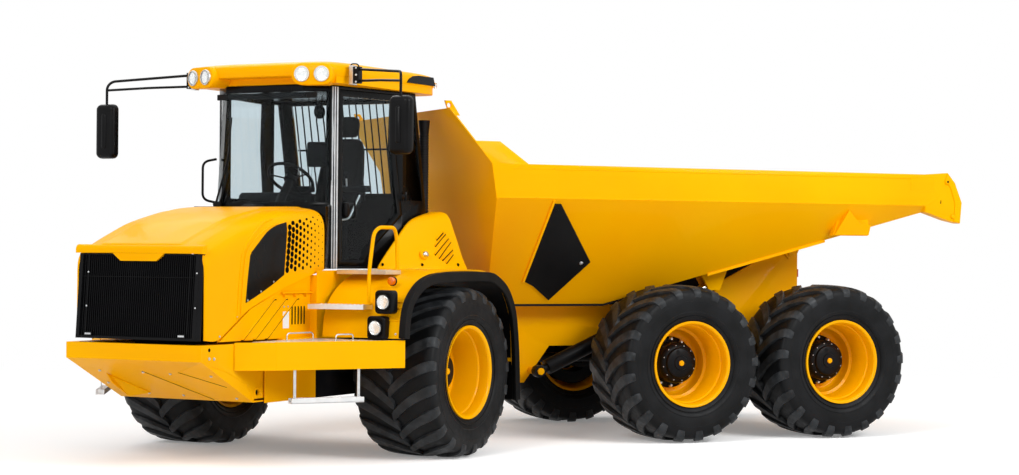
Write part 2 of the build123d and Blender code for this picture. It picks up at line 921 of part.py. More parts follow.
def fender_section(crest, top_run, foot_run, inset):
    base = fender_top_z - 86 - (20 if inset else 0)
    return [
        (arch_inner_x + inset, base),
        (arch_inner_x + inset, crest - inset),
        (arch_inner_x + inset + top_run, crest - inset - top_run / 9),
        (arch_inner_x + inset + foot_run, fender_top_z - inset),
        (fender_outer_x - inset, fender_top_z - 14 - inset),
        (fender_outer_x - inset, base),
    ]


fender_inside = [(y, fender_section(*sizes, fender_wall)) for y, *sizes in fender_stations]
fender_inside[0] = (fender_stations[0][0] - fender_wall, fender_inside[0][1])
fender_inside[-1] = (fender_stations[-1][0] + fender_wall, fender_inside[-1][1])
with BuildPart() as fender_space:
    ruled(fender_inside)

with BuildPart() as front_fenders:
    ruled([(y, fender_section(*sizes, 0)) for y, *sizes in fender_stations])
    add(fender_space.part, mode=Mode.SUBTRACT)
    # arch under the fender: a sheet bent round the wheel
    arch = [
        (front_axle_y - 1060, deck_z + 16),
        (front_axle_y - 1010, 1320),
        (front_axle_y - 800, 1520),
        (front_axle_y - 420, 1620),
        (front_axle_y + 420, 1620),
        (front_axle_y + 720, 1480),
        (front_axle_y + 900, 1200),
        (front_axle_y + 940, 800),
    ]
    arch_inside = [(y * 0.985 + front_axle_y * 0.015, z - 14) for y, z in reversed(arch)]
    side_plate(arch + arch_inside, (arch_inner_x, 1540))
    mirror(about=Plane.YZ)

with BuildPart() as fender_flares:
    flare = [
        (front_axle_y - 1080, deck_z + 16),
        (front_axle_y - 1030, 1330),
        (front_axle_y - 810, 1540),
        (front_axle_y - 420, 1612),
        (front_axle_y + 430, 1612),
        (front_axle_y + 740, 1500),
        (front_axle_y + 930, 1210),
        (front_axle_y + 1010, 450),
    ]
    flare_inside = [
        (front_axle_y + 970, 450),
        (front_axle_y + 880, 1190),
        (front_axle_y + 700, 1460),
        (front_axle_y + 410, 1560),
        (front_axle_y - 410, 1560),
        (front_axle_y - 780, 1500),
        (front_axle_y - 985, 1300),
        (front_axle_y - 1040, deck_z + 16),
    ]
    side_plate(flare + flare_inside, (1542, arch_outer_x))
    mirror(about=Plane.YZ)


# ---- hood and grille ----
def hood_section(half, low, high, inset):
    points = [
        (half - inset, low),
        (half - inset, high - 190),
        (half - 60 - inset * 0.6, high - 50 - inset),
        (half - 220, high - inset),
    ]
    return points + [(-x, z) for x, z in reversed(points)]


hood_stations = [
    # y, half width, height of the top
    (hood_front_y, hood_half, hood_lip_z + 60),
    (-3500, 665, 2035),
    (-3000, 690, 2140),
    (hood_rear_y, hood_rear_half, hood_rear_z),
]
hood_hinge = (bumper_y + 14, deck_z + 10)
hood_side_outline = [
    (hood_front_y - 30, 1080),
    (-3890, 1080),
    (-3450, 1335),
    (-3060, 1470),
    (hood_rear_y, 1640),
    (hood_rear_y, 2400),
    (hood_front_y - 30, 2400),
]
with BuildPart() as hood_space:
    ruled([(y + (30 if y == hood_front_y else 0), hood_section(half, 1000, top, hood_wall))
           for y, half, top in hood_stations])
with BuildPart() as hood:
    ruled([(y, hood_section(half, 1001, top, 0)) for y, half, top in hood_stations])
    side_plate(hood_side_outline, (-1000, 1000), Mode.INTERSECT)
    add(hood_space.part, mode=Mode.SUBTRACT)
    mouth = hood_half - 60
    block((-mouth, mouth), (hood_front_y - 1, hood_front_y + 60), (1079, hood_lip_z - 20), Mode.SUBTRACT)

with BuildPart() as grille:
    side_plate(
        [
            (hood_front_y - 12, hood_lip_z - 25),
            (hood_front_y - 70, 1075),
            (hood_front_y - 40, 1075),
            (hood_front_y + 18, hood_lip_z - 25),
        ],
        (-hood_half + 64, hood_half - 64),
    )
    for side in (-1, 1):
        x = side * hood_latch_x
        side_plate(
            [
                (hood_hinge[0], hood_hinge[1] - 8),
                (hood_hinge[0] + 60, hood_hinge[1] + 10),
                (hood_hinge[0] + 60, hood_hinge[1] + 60),
                (hood_hinge[0], hood_hinge[1] + 8),
            ],
            (x - 20, x + 20),
        )
        bar((x - 30, *hood_hinge), (x + 30, *hood_hinge), 10)

# ---- cab ----
# The side walls run straight forward to cab_turn_y and from there lean in towards the windscreen.
side_run = Vector(cab_pillar[0] - cab_half, cab_pillar[1] - cab_turn_y)
side_length = side_run.length
side_dir = side_run.normalized()


def cab_side(side, inset=0):
    # the plane of a leaning side wall: local x runs back along it from cab_turn_y on the left and
    # forwards on the right, local y up and z outwards
    across = Vector(-side * side_dir.Y, side_dir.X)
    origin = Vector(side * cab_half, cab_turn_y) - across * inset
    return Plane(origin=origin, x_dir=(-side_dir.X, -side * side_dir.Y, 0), z_dir=across)


def lean(z):
    return cab_lean * (z - cab_sill_z) / (cab_top_z - cab_sill_z)


def cab_plan(z, inset):
    # outline of the cab at a height, moved in by an inset
    back = cab_rear_y - inset
    if z > cab_sill_z:
        back -= cab_rear_lean * (z - cab_sill_z) / (cab_top_z - cab_sill_z)
    points = [(cab_half - inset, back), (cab_half - inset, cab_turn_y)]
    if z > cab_sill_z or inset == 0 and z == cab_sill_z:
        points += [
            (cab_pillar[0] - inset, cab_pillar[1] + 0.2 * inset),
            (cab_corner[0] - 0.8 * inset, cab_corner[1] + 0.6 * inset + lean(z)),
            (cab_front[0] - 0.3 * inset, cab_front[1] + inset + lean(z)),
        ]
    return points + [(-x, y) for x, y in reversed(points)]


def tapered(low, low_z, high, high_z):
    # a solid between two outlines of (x, y) points at two heights
    with BuildPart(mode=Mode.PRIVATE) as body:
        for points, z in ((low, low_z), (high, high_z)):
            with BuildSketch(Plane.XY.offset(z)):
                with BuildLine():
                    Polyline(*points, close=True)
                make_face()
        loft(ruled=True)
    add(body.part)


def cab_block(inset, bottom, top):
    tapered(cab_plan(cab_sill_z + 0.001, inset), cab_sill_z, cab_plan(top, inset), top)
    waist = [
        (cab_half - inset, cab_rear_y - inset),
        (cab_half - inset, cab_turn_y),
        (cab_pillar[0] - inset, cab_pillar[1] + 0.2 * inset),
        (cowl_front[0] - inset, cowl_front[1] + inset),
    ]
    flat_plate(waist + [(-x, y) for x, y in reversed(waist)], (bottom, cab_sill_z))


# outlines on the leaning side: distance back from cab_turn_y (negative forwards), height
door_outline = [
    (-860, door_bottom),
    (-860, door_top),
    (-75, door_top),
    (-95, 2730),
    (5, 2125),
    (-445, 1790),
    (-490, door_bottom),
]
right_outline = [
    (-830, 2260),
    (-830, door_top - 50),
    (-110, door_top - 50),
    (-130, 2730),
    (-70, 2260),
]
# outline on the straight part of the side: y, height
quarter_outline = [
    (cab_turn_y + 70, cab_top_z - 75),
    (cab_turn_y + 195, cab_top_z - 75),
    (cab_turn_y + 370, 2260),
    (cab_turn_y + 70, 2260),
]
screen_z = (cab_sill_z + 35, cab_top_z - window_top_gap)
rear_glass_z = (cab_sill_z + 150, cab_top_z - window_top_gap - 25)
rear_glass_half = 600


def grown(plane, points, amount):
    # an outline on a plane, moved outwards
    with BuildSketch(plane, mode=Mode.PRIVATE) as shape:
        with BuildLine():
            Polyline(*points, close=True)
        make_face()
        if amount:
            offset(amount=amount, kind=Kind.INTERSECTION)
    return shape.sketch


def side_pane(side, points, amount, inset, thickness, mode=Mode.ADD):
    # a sheet in the leaning side, its outer face so far in from the wall's own
    turned = [(side * along, z) for along, z in points]
    extrude(grown(cab_side(side, inset), turned, amount), amount=-thickness, mode=mode)


def quarter_pane(side, amount, inset, thickness, mode=Mode.ADD):
    x = cab_half - inset
    face = grown(Plane.YZ.offset(side * x), quarter_outline, amount)
    extrude(face, amount=-side * thickness, mode=mode)


def rear_slab(half, z, shift, depth, mode=Mode.ADD):
    slope = -cab_rear_lean / (cab_top_z - cab_sill_z)
    low, high = (cab_rear_y + shift + slope * (level - cab_sill_z) for level in z)
    side_plate([(low, z[0]), (high, z[1]), (high - depth, z[1]), (low - depth, z[0])], (-half, half), mode)


def screen_strip(z):
    outer = cab_plan(z, glass_inset)[2:8]
    inner = cab_plan(z, glass_inset + glass)[2:8]
    return outer + inner[::-1]


glass_inset = 14
with BuildPart() as cab_hollow:
    cab_block(cab_wall, cab_floor_z + cab_wall, cab_top_z - cab_wall)
with BuildPart() as cab_shell:
    cab_block(0, cab_floor_z, cab_top_z)
    add(cab_hollow.part, mode=Mode.SUBTRACT)
    flat_plate(
        [
            (cab_pillar[0] + 30, cab_pillar[1] + 8),
            (cab_pillar[0] + 130, cab_front[1] - 100),
            (-cab_pillar[0] - 130, cab_front[1] - 100),
            (-cab_pillar[0] - 30, cab_pillar[1] + 8),
        ],
        screen_z,
        Mode.SUBTRACT,
    )
    rear_slab(rear_glass_half, rear_glass_z, 30, 140, Mode.SUBTRACT)
    side_pane(1, door_outline, door_gap, -10, cab_wall + 20, Mode.SUBTRACT)
    side_pane(-1, right_outline, 0, -10, cab_wall + 20, Mode.SUBTRACT)
    for side in (-1, 1):
        quarter_pane(side, 0, -10, cab_wall + 20, Mode.SUBTRACT)

with BuildPart() as cab_glass:
    low, high = screen_z[0] + glass_gap, screen_z[1] - glass_gap
    tapered(screen_strip(low), low, screen_strip(high), high)
    pane_z = (rear_glass_z[0] + glass_gap, rear_glass_z[1] - glass_gap)
    rear_slab(rear_glass_half - glass_gap, pane_z, -14, glass)
    side_pane(-1, right_outline, -glass_gap, 22 - glass, glass)
    for side in (-1, 1):
        quarter_pane(side, -glass_gap, 22 - glass, glass)

with BuildPart() as door_left:
    side_pane(1, door_outline, 0, 0, cab_wall)
    side_pane(1, door_outline, -door_frame, -1, cab_wall + 2, Mode.SUBTRACT)
    # hinge knuckles and their arms
    for low, reach in ((2250, 70), (2900, 122)):
        flat_plate(
            [
                (cab_half - 40, door_hinge[1] - reach - 35),
                (door_hinge[0], door_hinge[1] - reach),
                (*door_hinge,),
                (door_hinge[0] - 22, door_hinge[1]),
                (door_hinge[0] - 22, door_hinge[1] - reach + 12),
                (cab_half - 40, door_hinge[1] - reach),
            ],
            (low + 20, low + 60),
        )
        bar((*door_hinge, low), (*door_hinge, low + 80), door_hinge_radius)

with BuildPart() as door_glass:
    side_pane(1, door_outline, -door_frame - glass_gap, 22 - glass, glass)

# outlines of the roof: its rim, the same rim set in at the crown, and the band that it rests on
roof_rim = [
    (roof_half, cab_turn_y + 480),
    (roof_half - 190, cab_turn_y + 600),
    (-roof_half + 190, cab_turn_y + 600),
    (-roof_half, cab_turn_y + 480),
    (-roof_half, -2200),
    (-700, -2400),
    (-400, -2450),
    (400, -2450),
    (700, -2400),
    (roof_half, -2200),
]


def shrunk(points, x_share, y_share):
    middle = (cab_turn_y + cab_front[1]) / 2
    return [(x * x_share, middle + (y - middle) * y_share) for x, y in points]


with BuildPart() as cab_roof:
    rim_z = cab_top_z + roof_edge - 70
    edge_z = cab_top_z + roof_edge
    flat_plate(roof_rim, (rim_z, edge_z))
    tapered(roof_rim, edge_z, shrunk(roof_rim, 0.82, 0.9), cab_top_z + roof_crown)
    skirt = [point for point in roof_rim if point[1] > cab_front[1] + 20]
    flat_plate(skirt, (cab_top_z + 1, rim_z + 1))
    for side in (-1, 1):
        for x, y in roof_lamps:
            bar((side * x, y + 8, roof_lamp_z), (side * x, y + 180, roof_lamp_z), roof_pod_radius)
        for x, y in roof_lamps:
            bar(
                (side * x, y - 60, roof_lamp_z),
                (side * x, y + 60, roof_lamp_z),
                roof_lamp_radius + glass_gap,
                Mode.SUBTRACT,
            )

# ---- inside the cab ----
with BuildPart() as seat:
    block((-230, 230), (-1560, -1080), (2080, 2200))
    side_plate([(-1180, 2201), (-1050, 2900), (-930, 2900), (-1060, 2201)], (-220, 220))
    block((-180, 180), (-1500, -1140), (cab_floor_z + cab_wall, 2079))

with BuildPart() as steering_console:
    side_plate([(-2250, 1690), (-2230, 2150), (-2120, 2190), (-2060, 1690)], (-430, 430))
    bar((0, -2120, 2150), (0, -1900, 2420), 35)
    with BuildSketch(Plane(origin=(0, -1900, 2420), z_dir=(0, 220, 270)), mode=Mode.PRIVATE) as wheel_rim:
        Circle(225)
        Circle(190, mode=Mode.SUBTRACT)
        Rectangle(390, 40)
    extrude(wheel_rim.sketch, amount=28)

# ---- rails, mirrors, lamps, exhaust ----
rail_x = tread_x[1] - 23
# y, height
grab_rail_points = [
    (-2545, mid_tread_z[1] + 1),
    (-2540, 1640),
    (-2470, 1950),
    (-2385, 2000),
    (-2130, 2000),
    (-2090, 1900),
    (-2080, top_tread_z[1] + 1),
]
with BuildPart() as grab_rails:
    rail_loop([(rail_x, y, z) for y, z in grab_rail_points], 16)
    mirror(about=Plane.YZ)

# arm bracket, elbow and head of each mirror: x, y
mirror_bracket = (900, -2190)
mirror_elbow = (1510, -2520)
mirror_head = (1530, -2560)
mirror_head_z = (2600, 3100)
with BuildPart() as mirrors:
    block(
        (roof_half + 2, mirror_bracket[0] + 30),
        (mirror_bracket[1] - 35, mirror_bracket[1] + 35),
        (roof_lamp_z - 70, roof_lamp_z + 70),
    )
    rail_loop(
        [
            (*mirror_bracket, roof_lamp_z + 50),
            (*mirror_elbow, roof_lamp_z - 10),
            (*mirror_head, roof_lamp_z - 60),
            (*mirror_head, mirror_head_z[1] - 20),
        ],
        13,
    )
    bar((*mirror_bracket, roof_lamp_z - 50), (*mirror_head, roof_lamp_z - 90), 12)
    block(
        (mirror_head[0] - 105, mirror_head[0] + 105),
        (mirror_head[1] - 40, mirror_head[1] + 40),
        mirror_head_z,
    )
    mirror(about=Plane.YZ)

# front lamps: x, height of each; they stand before the fender's front wall
front_lamps = [(1420, 1376), (1345, 1160)]
front_lamp_radius = 62
with BuildPart() as headlamp_pods:
    for x, z in front_lamps:
        block((x - 88, x + 88), (lamp_wall_y - 10, lamp_wall_y + 50), (z - 98, z + 98))
        bar(
            (x, lamp_wall_y - 11, z),
            (x, lamp_wall_y + 30, z),
            front_lamp_radius + glass_gap,
            Mode.SUBTRACT,
        )
    mirror(about=Plane.YZ)

with BuildPart() as lamps:
    for x, y in roof_lamps:
        bar((x, y, roof_lamp_z), (x, y + 59, roof_lamp_z), roof_lamp_radius)
    for x, z in front_lamps:
        bar((x, lamp_wall_y - 14, z), (x, lamp_wall_y + 29, z), front_lamp_radius)
    bar((1345, -2395, 1545), (1345, -2355, 1545), 34)
    mirror(about=Plane.YZ)

stack = (668, -680)
with BuildPart() as exhaust:
    bar((*stack, 2150), (*stack, 3010), 42)
    bar((*stack, 1640), (*stack, 2151), 75)

# ---- placing and writing ----
front_pieces = {
    "front_frame": front_frame,
    "bumper": bumper,
    "engine_block": engine_block,
    "front_axle": front_axle,
    "hood": hood,
    "grille": grille,
    "front_fenders": front_fenders,
    "fender_flares": fender_flares,
    "side_steps": side_steps,
    "cab_shell": cab_shell,
    "cab_roof": cab_roof,
    "cab_glass": cab_glass,
    "door_left": door_left,
    "door_glass": door_glass,
    "seat": seat,
    "steering_console": steering_console,
    "grab_rails": grab_rails,
    "mirrors": mirrors,
    "headlamp_pods": headlamp_pods,
    "lamps": lamps,
    "exhaust": exhaust,
}
rear_pieces = {
    "hitch_link": hitch_link,
    "rear_frame": rear_frame,
    "rear_axles": rear_axles,
    "bogie_beams": bogie_beams,
    "dump_body": dump_body,
    "body_flaps": body_flaps,
    "tail_lamps": tail_lamps,
}
for name, side, y in wheel_places:
    group = front_pieces if name.startswith("front") else rear_pieces
    group["tyre_" + name] = tyres[name]
    group["wheel_" + name] = wheels[name]
for name in ("left", "right"):
    rear_pieces["steer_barrel_" + name] = steer_barrels[name]
    rear_pieces["steer_rod_" + name] = steer_rods[name]
    rear_pieces["tip_barrel_" + name] = tip_barrels[name]
    rear_pieces["tip_rod_" + name] = tip_rods[name]

front_turn = Location((0, 0, 0), (0, 0, steer_angle))
placed = {name: piece.part.moved(front_turn) for name, piece in front_pieces.items()}
placed.update({name: piece.part for name, piece in rear_pieces.items()})
corners = [shape.bounding_box() for shape in placed.values()]
centre_x = (min(box.min.X for box in corners) + max(box.max.X for box in corners)) / 2
centre_y = (min(box.min.Y for box in corners) + max(box.max.Y for box in corners)) / 2
to_origin = Location((-centre_x, -centre_y, 0))
print("centre", round(centre_x, 3), round(centre_y, 3))
for name, shape in placed.items():
    piece = shape.moved(to_origin)
    piece.label = name
    export_step(piece, f"parts/{name}.step")
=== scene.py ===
import json
import math

import bmesh
import bpy
from mathutils import Matrix, Vector


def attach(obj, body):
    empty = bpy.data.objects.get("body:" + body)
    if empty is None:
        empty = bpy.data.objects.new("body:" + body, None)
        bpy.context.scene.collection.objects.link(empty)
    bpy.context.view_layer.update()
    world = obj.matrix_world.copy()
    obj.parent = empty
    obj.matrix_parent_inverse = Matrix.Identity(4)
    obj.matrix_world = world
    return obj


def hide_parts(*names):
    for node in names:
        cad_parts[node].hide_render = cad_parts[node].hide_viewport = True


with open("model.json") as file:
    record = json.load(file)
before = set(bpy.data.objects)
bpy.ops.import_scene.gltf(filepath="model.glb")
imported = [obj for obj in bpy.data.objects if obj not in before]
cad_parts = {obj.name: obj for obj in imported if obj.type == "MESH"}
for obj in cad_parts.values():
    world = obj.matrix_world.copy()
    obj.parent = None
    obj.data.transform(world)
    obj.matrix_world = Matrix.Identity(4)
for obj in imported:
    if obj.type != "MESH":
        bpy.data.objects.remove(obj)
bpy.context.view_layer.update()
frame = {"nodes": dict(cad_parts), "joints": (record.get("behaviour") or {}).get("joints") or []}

# Lengths are millimetres with the steering hinge at x = y = 0, and each piece is built in the rear
# unit's place or in the front unit's, which is turned to the left about that hinge.
mm = 0.001
fullTurn = 2 * math.pi
joints = {joint["name"]: joint for joint in frame["joints"]}
hinge = Vector((*joints["steering"]["pos_m"][:2], 0))
frontAcross = Vector(joints["hood_lift"]["axis"])
frontTurn = Matrix.Rotation(math.atan2(frontAcross.y, frontAcross.x), 4, "Z")
rearPlace = Matrix.Translation(hinge) @ Matrix.Scale(mm, 4)
frontPlace = Matrix.Translation(hinge) @ frontTurn @ Matrix.Scale(mm, 4)


def addObject(name, data):
    made = bpy.data.objects.new(name, data)
    bpy.context.scene.collection.objects.link(made)
    return made


cameraForm = {
    "lens": 76.04, "sensor": 36.0, "farthest": 500,
    "place": (19.3975, -7.7128, 1.8297),  # metres from the steering hinge, height above the floor
    "back": (0.908997, -0.416771, -0.005100),  # from the truck towards the camera
    "roll": 0.0081,
}


def makeCamera():
    back = Vector(cameraForm["back"]).normalized()
    right = (-back).cross(Vector((0, 0, 1))).normalized()
    up = right.cross(-back)
    roll = cameraForm["roll"]
    side = right * math.cos(roll) + up * math.sin(roll)
    top = -right * math.sin(roll) + up * math.cos(roll)
    data = bpy.data.cameras.new("camera")
    data.lens, data.sensor_width, data.sensor_fit = cameraForm["lens"], cameraForm["sensor"], "HORIZONTAL"
    data.clip_end = cameraForm["farthest"]
    camera = addObject("camera", data)
    camera.matrix_world = Matrix((side, top, back)).transposed().to_4x4()
    camera.matrix_world.translation = Vector(cameraForm["place"]) + hinge
    bpy.context.scene.camera = camera


def toLinear(text):
    # sRGB hex to the linear values that the shaders use
    parts = [int(text[k:k + 2], 16) / 255 for k in (1, 3, 5)]
    return tuple(p / 12.92 if p <= 0.04045 else ((p + 0.055) / 1.055) ** 2.4 for p in parts) + (1.0,)


def addNode(tree, kind, inputs=(), **settings):
    # adds a shader node, or one of another kind by its full name; an input is a value, or a pair of
    # another node and its output
    made = tree.nodes.new(kind if "Node" in kind else "ShaderNode" + kind)
    for name, value in settings.items():
        setattr(made, name, value)
    for name, value in dict(inputs).items():
        if isinstance(value, tuple) and len(value) == 2 and isinstance(value[0], bpy.types.Node):
            tree.links.new(value[0].outputs[value[1]], made.inputs[name])
        else:
            made.inputs[name].default_value = value
    return made


def emptyTree(owner):
    owner.use_nodes = True
    owner.node_tree.nodes.clear()
    return owner.node_tree


def addSeen(tree):
    # 1 for what the eye sees straight, in a gloss or through glass, and 0 for scattered light
    rays = addNode(tree, "LightPath")
    seen = addNode(tree, "Math", {0: (rays, "Is Camera Ray"), 1: (rays, "Is Glossy Ray")}, operation="MAXIMUM")
    return addNode(tree, "Math", {0: (seen, 0), 1: (rays, "Is Transmission Ray")}, operation="MAXIMUM")


studioForm = {
    "sky": "#FFFFFF", "skyStrength": 0.44, "white": (1, 1, 1, 1),
    # place, size, aim point and power of each soft box, metres and watts
    "boxes": [
        ((9.0, -13.0, 9.5), (7.0, 5.0), (0.5, -2.0, 1.2), 820),
        ((14.0, 6.0, 9.0), (9.0, 5.0), (0.5, 2.0, 1.5), 1450),
        ((-8.0, -2.0, 10.0), (8.0, 6.0), (0.0, 1.0, 2.0), 420),
        ((0.0, 0.0, 13.0), (9.0, 12.0), (0.0, 0.0, 0.0), 430),
    ],
    "floor": "#F4F4F4", "floorGlow": 0.2, "floorReach": 90, "floorLevel": -0.0005,
    "fade": (5.0, 14.0),  # metres from the middle, between which the floor turns into the backdrop's white
}


def makeStudio():
    form = studioForm
    white = {"Color": form["white"], "Strength": 1.0}
    world = bpy.data.worlds.new("studio")
    bpy.context.scene.world = world
    tree = emptyTree(world)
    light = addNode(tree, "Background", {"Color": toLinear(form["sky"]), "Strength": form["skyStrength"]})
    plain = addNode(tree, "Background", white)
    mix = addNode(tree, "MixShader", {0: (addSeen(tree), 0), 1: (light, 0), 2: (plain, 0)})
    addNode(tree, "OutputWorld", {"Surface": (mix, 0)})
    for number, (place, size, aim, power) in enumerate(form["boxes"]):
        data = bpy.data.lights.new(f"softBox{number}", "AREA")
        data.shape, data.size, data.size_y, data.energy = "RECTANGLE", size[0], size[1], power
        lamp = addObject(f"softBox{number}", data)
        lamp.location = place
        lamp.rotation_euler = (Vector(aim) - Vector(place)).to_track_quat("-Z", "Y").to_euler()
        lamp.visible_camera = False
    mesh = bpy.data.meshes.new("floor")
    reach = form["floorReach"]
    corners = [(x * reach, y * reach, 0) for x, y in ((-1, -1), (1, -1), (1, 1), (-1, 1))]
    mesh.from_pydata(corners, [], [(0, 1, 2, 3)])
    floor = addObject("floor", mesh)
    floor.location.z = form["floorLevel"]
    # a paper sweep, which scatters light near the truck and fades into plain white farther out
    paper = bpy.data.materials.new("paperSweep")
    tree = emptyTree(paper)
    seen = addSeen(tree)
    lift = addNode(tree, "Math", {0: (seen, 0), 1: form["floorGlow"]}, operation="MULTIPLY")
    sheet = addNode(tree, "BsdfDiffuse", {"Color": toLinear(form["floor"]), "Roughness": 1.0})
    glow = addNode(tree, "Emission", {"Color": form["white"], "Strength": (lift, 0)})
    both = addNode(tree, "AddShader", {0: (sheet, 0), 1: (glow, 0)})
    away = addNode(tree, "VectorMath", {0: (addNode(tree, "TexCoord"), "Object")}, operation="LENGTH")
    ends = {"From Min": form["fade"][0], "From Max": form["fade"][1]}
    fade = addNode(tree, "MapRange", {"Value": (away, "Value"), **ends}, interpolation_type="SMOOTHSTEP")
    share = addNode(tree, "Math", {0: (fade, 0), 1: (seen, 0)}, operation="MULTIPLY")
    backdrop = addNode(tree, "Emission", white)
    whole = addNode(tree, "MixShader", {0: (share, 0), 1: (both, 0), 2: (backdrop, 0)})
    addNode(tree, "OutputMaterial", {"Surface": (whole, 0)})
    mesh.materials.append(paper)


makeCamera()
makeStudio()
bpy.context.scene.view_settings.view_transform = "Standard"
print("camera, floor and light are set")

# short names for the shader's inputs
shaderInputs = {
    "index": "IOR", "specular": "Specular IOR Level", "coat": "Coat Weight", "coatRough": "Coat Roughness",
    "metal": "Metallic", "clear": "Transmission Weight", "sheen": "Sheen Weight", "glow": "Emission Strength",
    "glowColour": "Emission Color",
}


def perMetre(size):
    # how often a pattern of this size in millimetres repeats in a metre
    return 1000 / size


def makeFinish(name, tones, rough, toneSize, relief=None, roughSize=250, **looks):
    # two near tones in large soft patches, a range of roughness, and a relief of (size, depth) in mm
    material = bpy.data.materials.new(name)
    tree = emptyTree(material)
    surface = addNode(tree, "BsdfPrincipled", {shaderInputs[look]: value for look, value in looks.items()})
    addNode(tree, "OutputMaterial", {"Surface": (surface, 0)})
    place = addNode(tree, "TexCoord")

    def addNoise(size, detail):
        return addNode(tree, "TexNoise", {"Vector": (place, "Object"), "Scale": perMetre(size), "Detail": detail})

    patches = addNoise(toneSize, 3.0)
    tone = addNode(tree, "MapRange", {"Value": (patches, 0), "From Min": 0.35, "From Max": 0.65})
    tint = addNode(tree, "Mix", {0: (tone, 0), 6: toLinear(tones[0]), 7: toLinear(tones[1])}, data_type="RGBA")
    tree.links.new(tint.outputs[2], surface.inputs["Base Color"])
    ends = {"From Min": 0.3, "From Max": 0.7, "To Min": rough[0], "To Max": rough[1]}
    dull = addNode(tree, "MapRange", {"Value": (addNoise(roughSize, 4.0), 0), **ends})
    tree.links.new(dull.outputs[0], surface.inputs["Roughness"])
    if relief:
        bump = addNode(tree, "Bump", {"Height": (addNoise(relief[0], 2.0), 0), "Distance": relief[1] * mm})
        tree.links.new(bump.outputs[0], surface.inputs["Normal"])
    return material


# Two-pack polyurethane enamel sprayed on steel plate: deep yellow under a clear gloss, with the
# faint orange peel of spraying, drawn at 40 mm because its real 3 mm is too fine to show.
yellowEnamel = makeFinish(
    "yellowEnamel", ("#FFB000", "#FFB900"), (0.3, 0.42), 1400, (40, 0.2),
    index=1.45, specular=0.02, coat=0.05, coatRough=0.06,
)
# The same enamel baked on rolled wheel rims, a little deeper in the barrel.
rimEnamel = makeFinish(
    "rimEnamel", ("#FFB000", "#FFB800"), (0.3, 0.4), 700, (30, 0.2),
    index=1.45, specular=0.02, coat=0.15, coatRough=0.06,
)
# Natural rubber with carbon black, moulded: nearly black, dull, with a bloom of lighter patches.
tyreRubber = makeFinish(
    "tyreRubber", ("#0E0F10", "#18191B"), (0.36, 0.55), 180, (9, 0.7), 60, index=1.45, specular=0.16,
)
# The same rubber on the tread blocks, a little smoother, painted paler all over as a painted highlight on the lugs,
# which leaves the darker grooves as painted shade.
treadPaintedHighlight = makeFinish(
    "treadPaintedHighlight", ("#1E2022", "#36393C"), (0.34, 0.56), 110, (12, 0.9), 50, index=1.45, specular=0.24,
)
# Black EPDM rubber, extruded: matt with a soft sheen.
flareRubber = makeFinish(
    "flareRubber", ("#0B0B0C", "#121213"), (0.42, 0.58), 400, (14, 0.5), index=1.45, specular=0.12,
)
# Chassis paint, satin black over castings, with the roughness of cast iron under it.
chassisBlack = makeFinish(
    "chassisBlack", ("#08080A", "#101012"), (0.34, 0.5), 300, (12, 0.6), index=1.45, specular=0.14,
)
# Black ABS, injection moulded with a fine spark-eroded grain.
blackAbs = makeFinish("blackAbs", ("#070708", "#0D0D0F"), (0.28, 0.4), 300, (6, 0.15), index=1.45, specular=0.14)
# Black powder coat on the cab's steel pillars and doors: smooth with a wet edge.
cabBlack = makeFinish(
    "cabBlack", ("#060708", "#0B0C0D"), (0.2, 0.3), 500, (20, 0.12),
    index=1.45, specular=0.1, coat=0.06, coatRough=0.1,
)
# Dark grey vinyl trim inside the cab, calendered with a leather grain.
cabTrim = makeFinish("cabTrim", ("#0E1012", "#16181B"), (0.5, 0.65), 200, (8, 0.4), index=1.45, specular=0.2)
# Grey cast iron, painted black and baked by the engine's heat.
castIron = makeFinish("castIron", ("#0D0D0F", "#151517"), (0.5, 0.7), 150, (10, 0.9), index=1.45, specular=0.25)
# Aluminium tread plate, rolled and left bright.
treadAluminium = makeFinish("treadAluminium", ("#DADCDD", "#E9EAEA"), (0.28, 0.42), 120, (5, 0.3), metal=0.85)
# Galvanised and bright zinc-plated steel: pale grey and slightly mottled.
zincSteel = makeFinish("zincSteel", ("#C4C6C8", "#D4D6D7"), (0.25, 0.4), 60, (8, 0.2), metal=1.0)
# Hard chrome on ground piston rods.
hardChrome = makeFinish("hardChrome", ("#D9DBDD", "#E4E6E7"), (0.08, 0.16), 100, (3, 0.05), metal=1.0)
# Toughened glass with a blue-grey heat-absorbing tint. Its index is low, because the room round it is white.
cabGlass = makeFinish("cabGlass", ("#DCE6EA", "#E3EBEE"), (0.0, 0.015), 900, index=1.16, clear=1.0)
# Polycarbonate lamp lens, moulded clear.
clearLens = makeFinish("clearLens", ("#F4F6F7", "#FAFBFB"), (0.03, 0.08), 60, index=1.58, clear=0.85)
# Aluminised reflector bowl behind the lens, given a painted glow for the bulb's light reflected in it, and the lit
# halogen bulb in it.
warmWhite = toLinear("#FFFDF6")
lampBowlPaintedGlow = makeFinish(
    "lampBowlPaintedGlow", ("#E8EAEC", "#F6F7F8"), (0.1, 0.22), 30, metal=1.0, glow=0.35, glowColour=warmWhite,
)
lampBulb = makeFinish("lampBulb", ("#FFFFFF", "#FFFDF8"), (0.3, 0.4), 20, glow=2.4, glowColour=warmWhite)
# Amber and red acrylic lenses, moulded with prisms inside.
amberLens = makeFinish("amberLens", ("#E66A00", "#F07C08"), (0.1, 0.2), 20, (6, 0.4), index=1.49, coat=0.5)
redLens = makeFinish("redLens", ("#A80F0C", "#BE1712"), (0.1, 0.2), 20, (6, 0.4), index=1.49, coat=0.5)
# Silvered mirror glass.
mirrorGlass = makeFinish("mirrorGlass", ("#D8DCDF", "#E0E3E5"), (0.02, 0.05), 200, metal=1.0)
# White vinyl label stock, left blank.
blankLabel = makeFinish("blankLabel", ("#ECECEA", "#F4F4F2"), (0.35, 0.45), 50, index=1.46)
# Flat black inside the openings and under lips, a painted shade where the eye sees only depth; it also draws the dark
# lines of seams.
openShade = makeFinish("openShade", ("#030304", "#050506"), (0.85, 0.95), 200, index=1.45, specular=0.05)
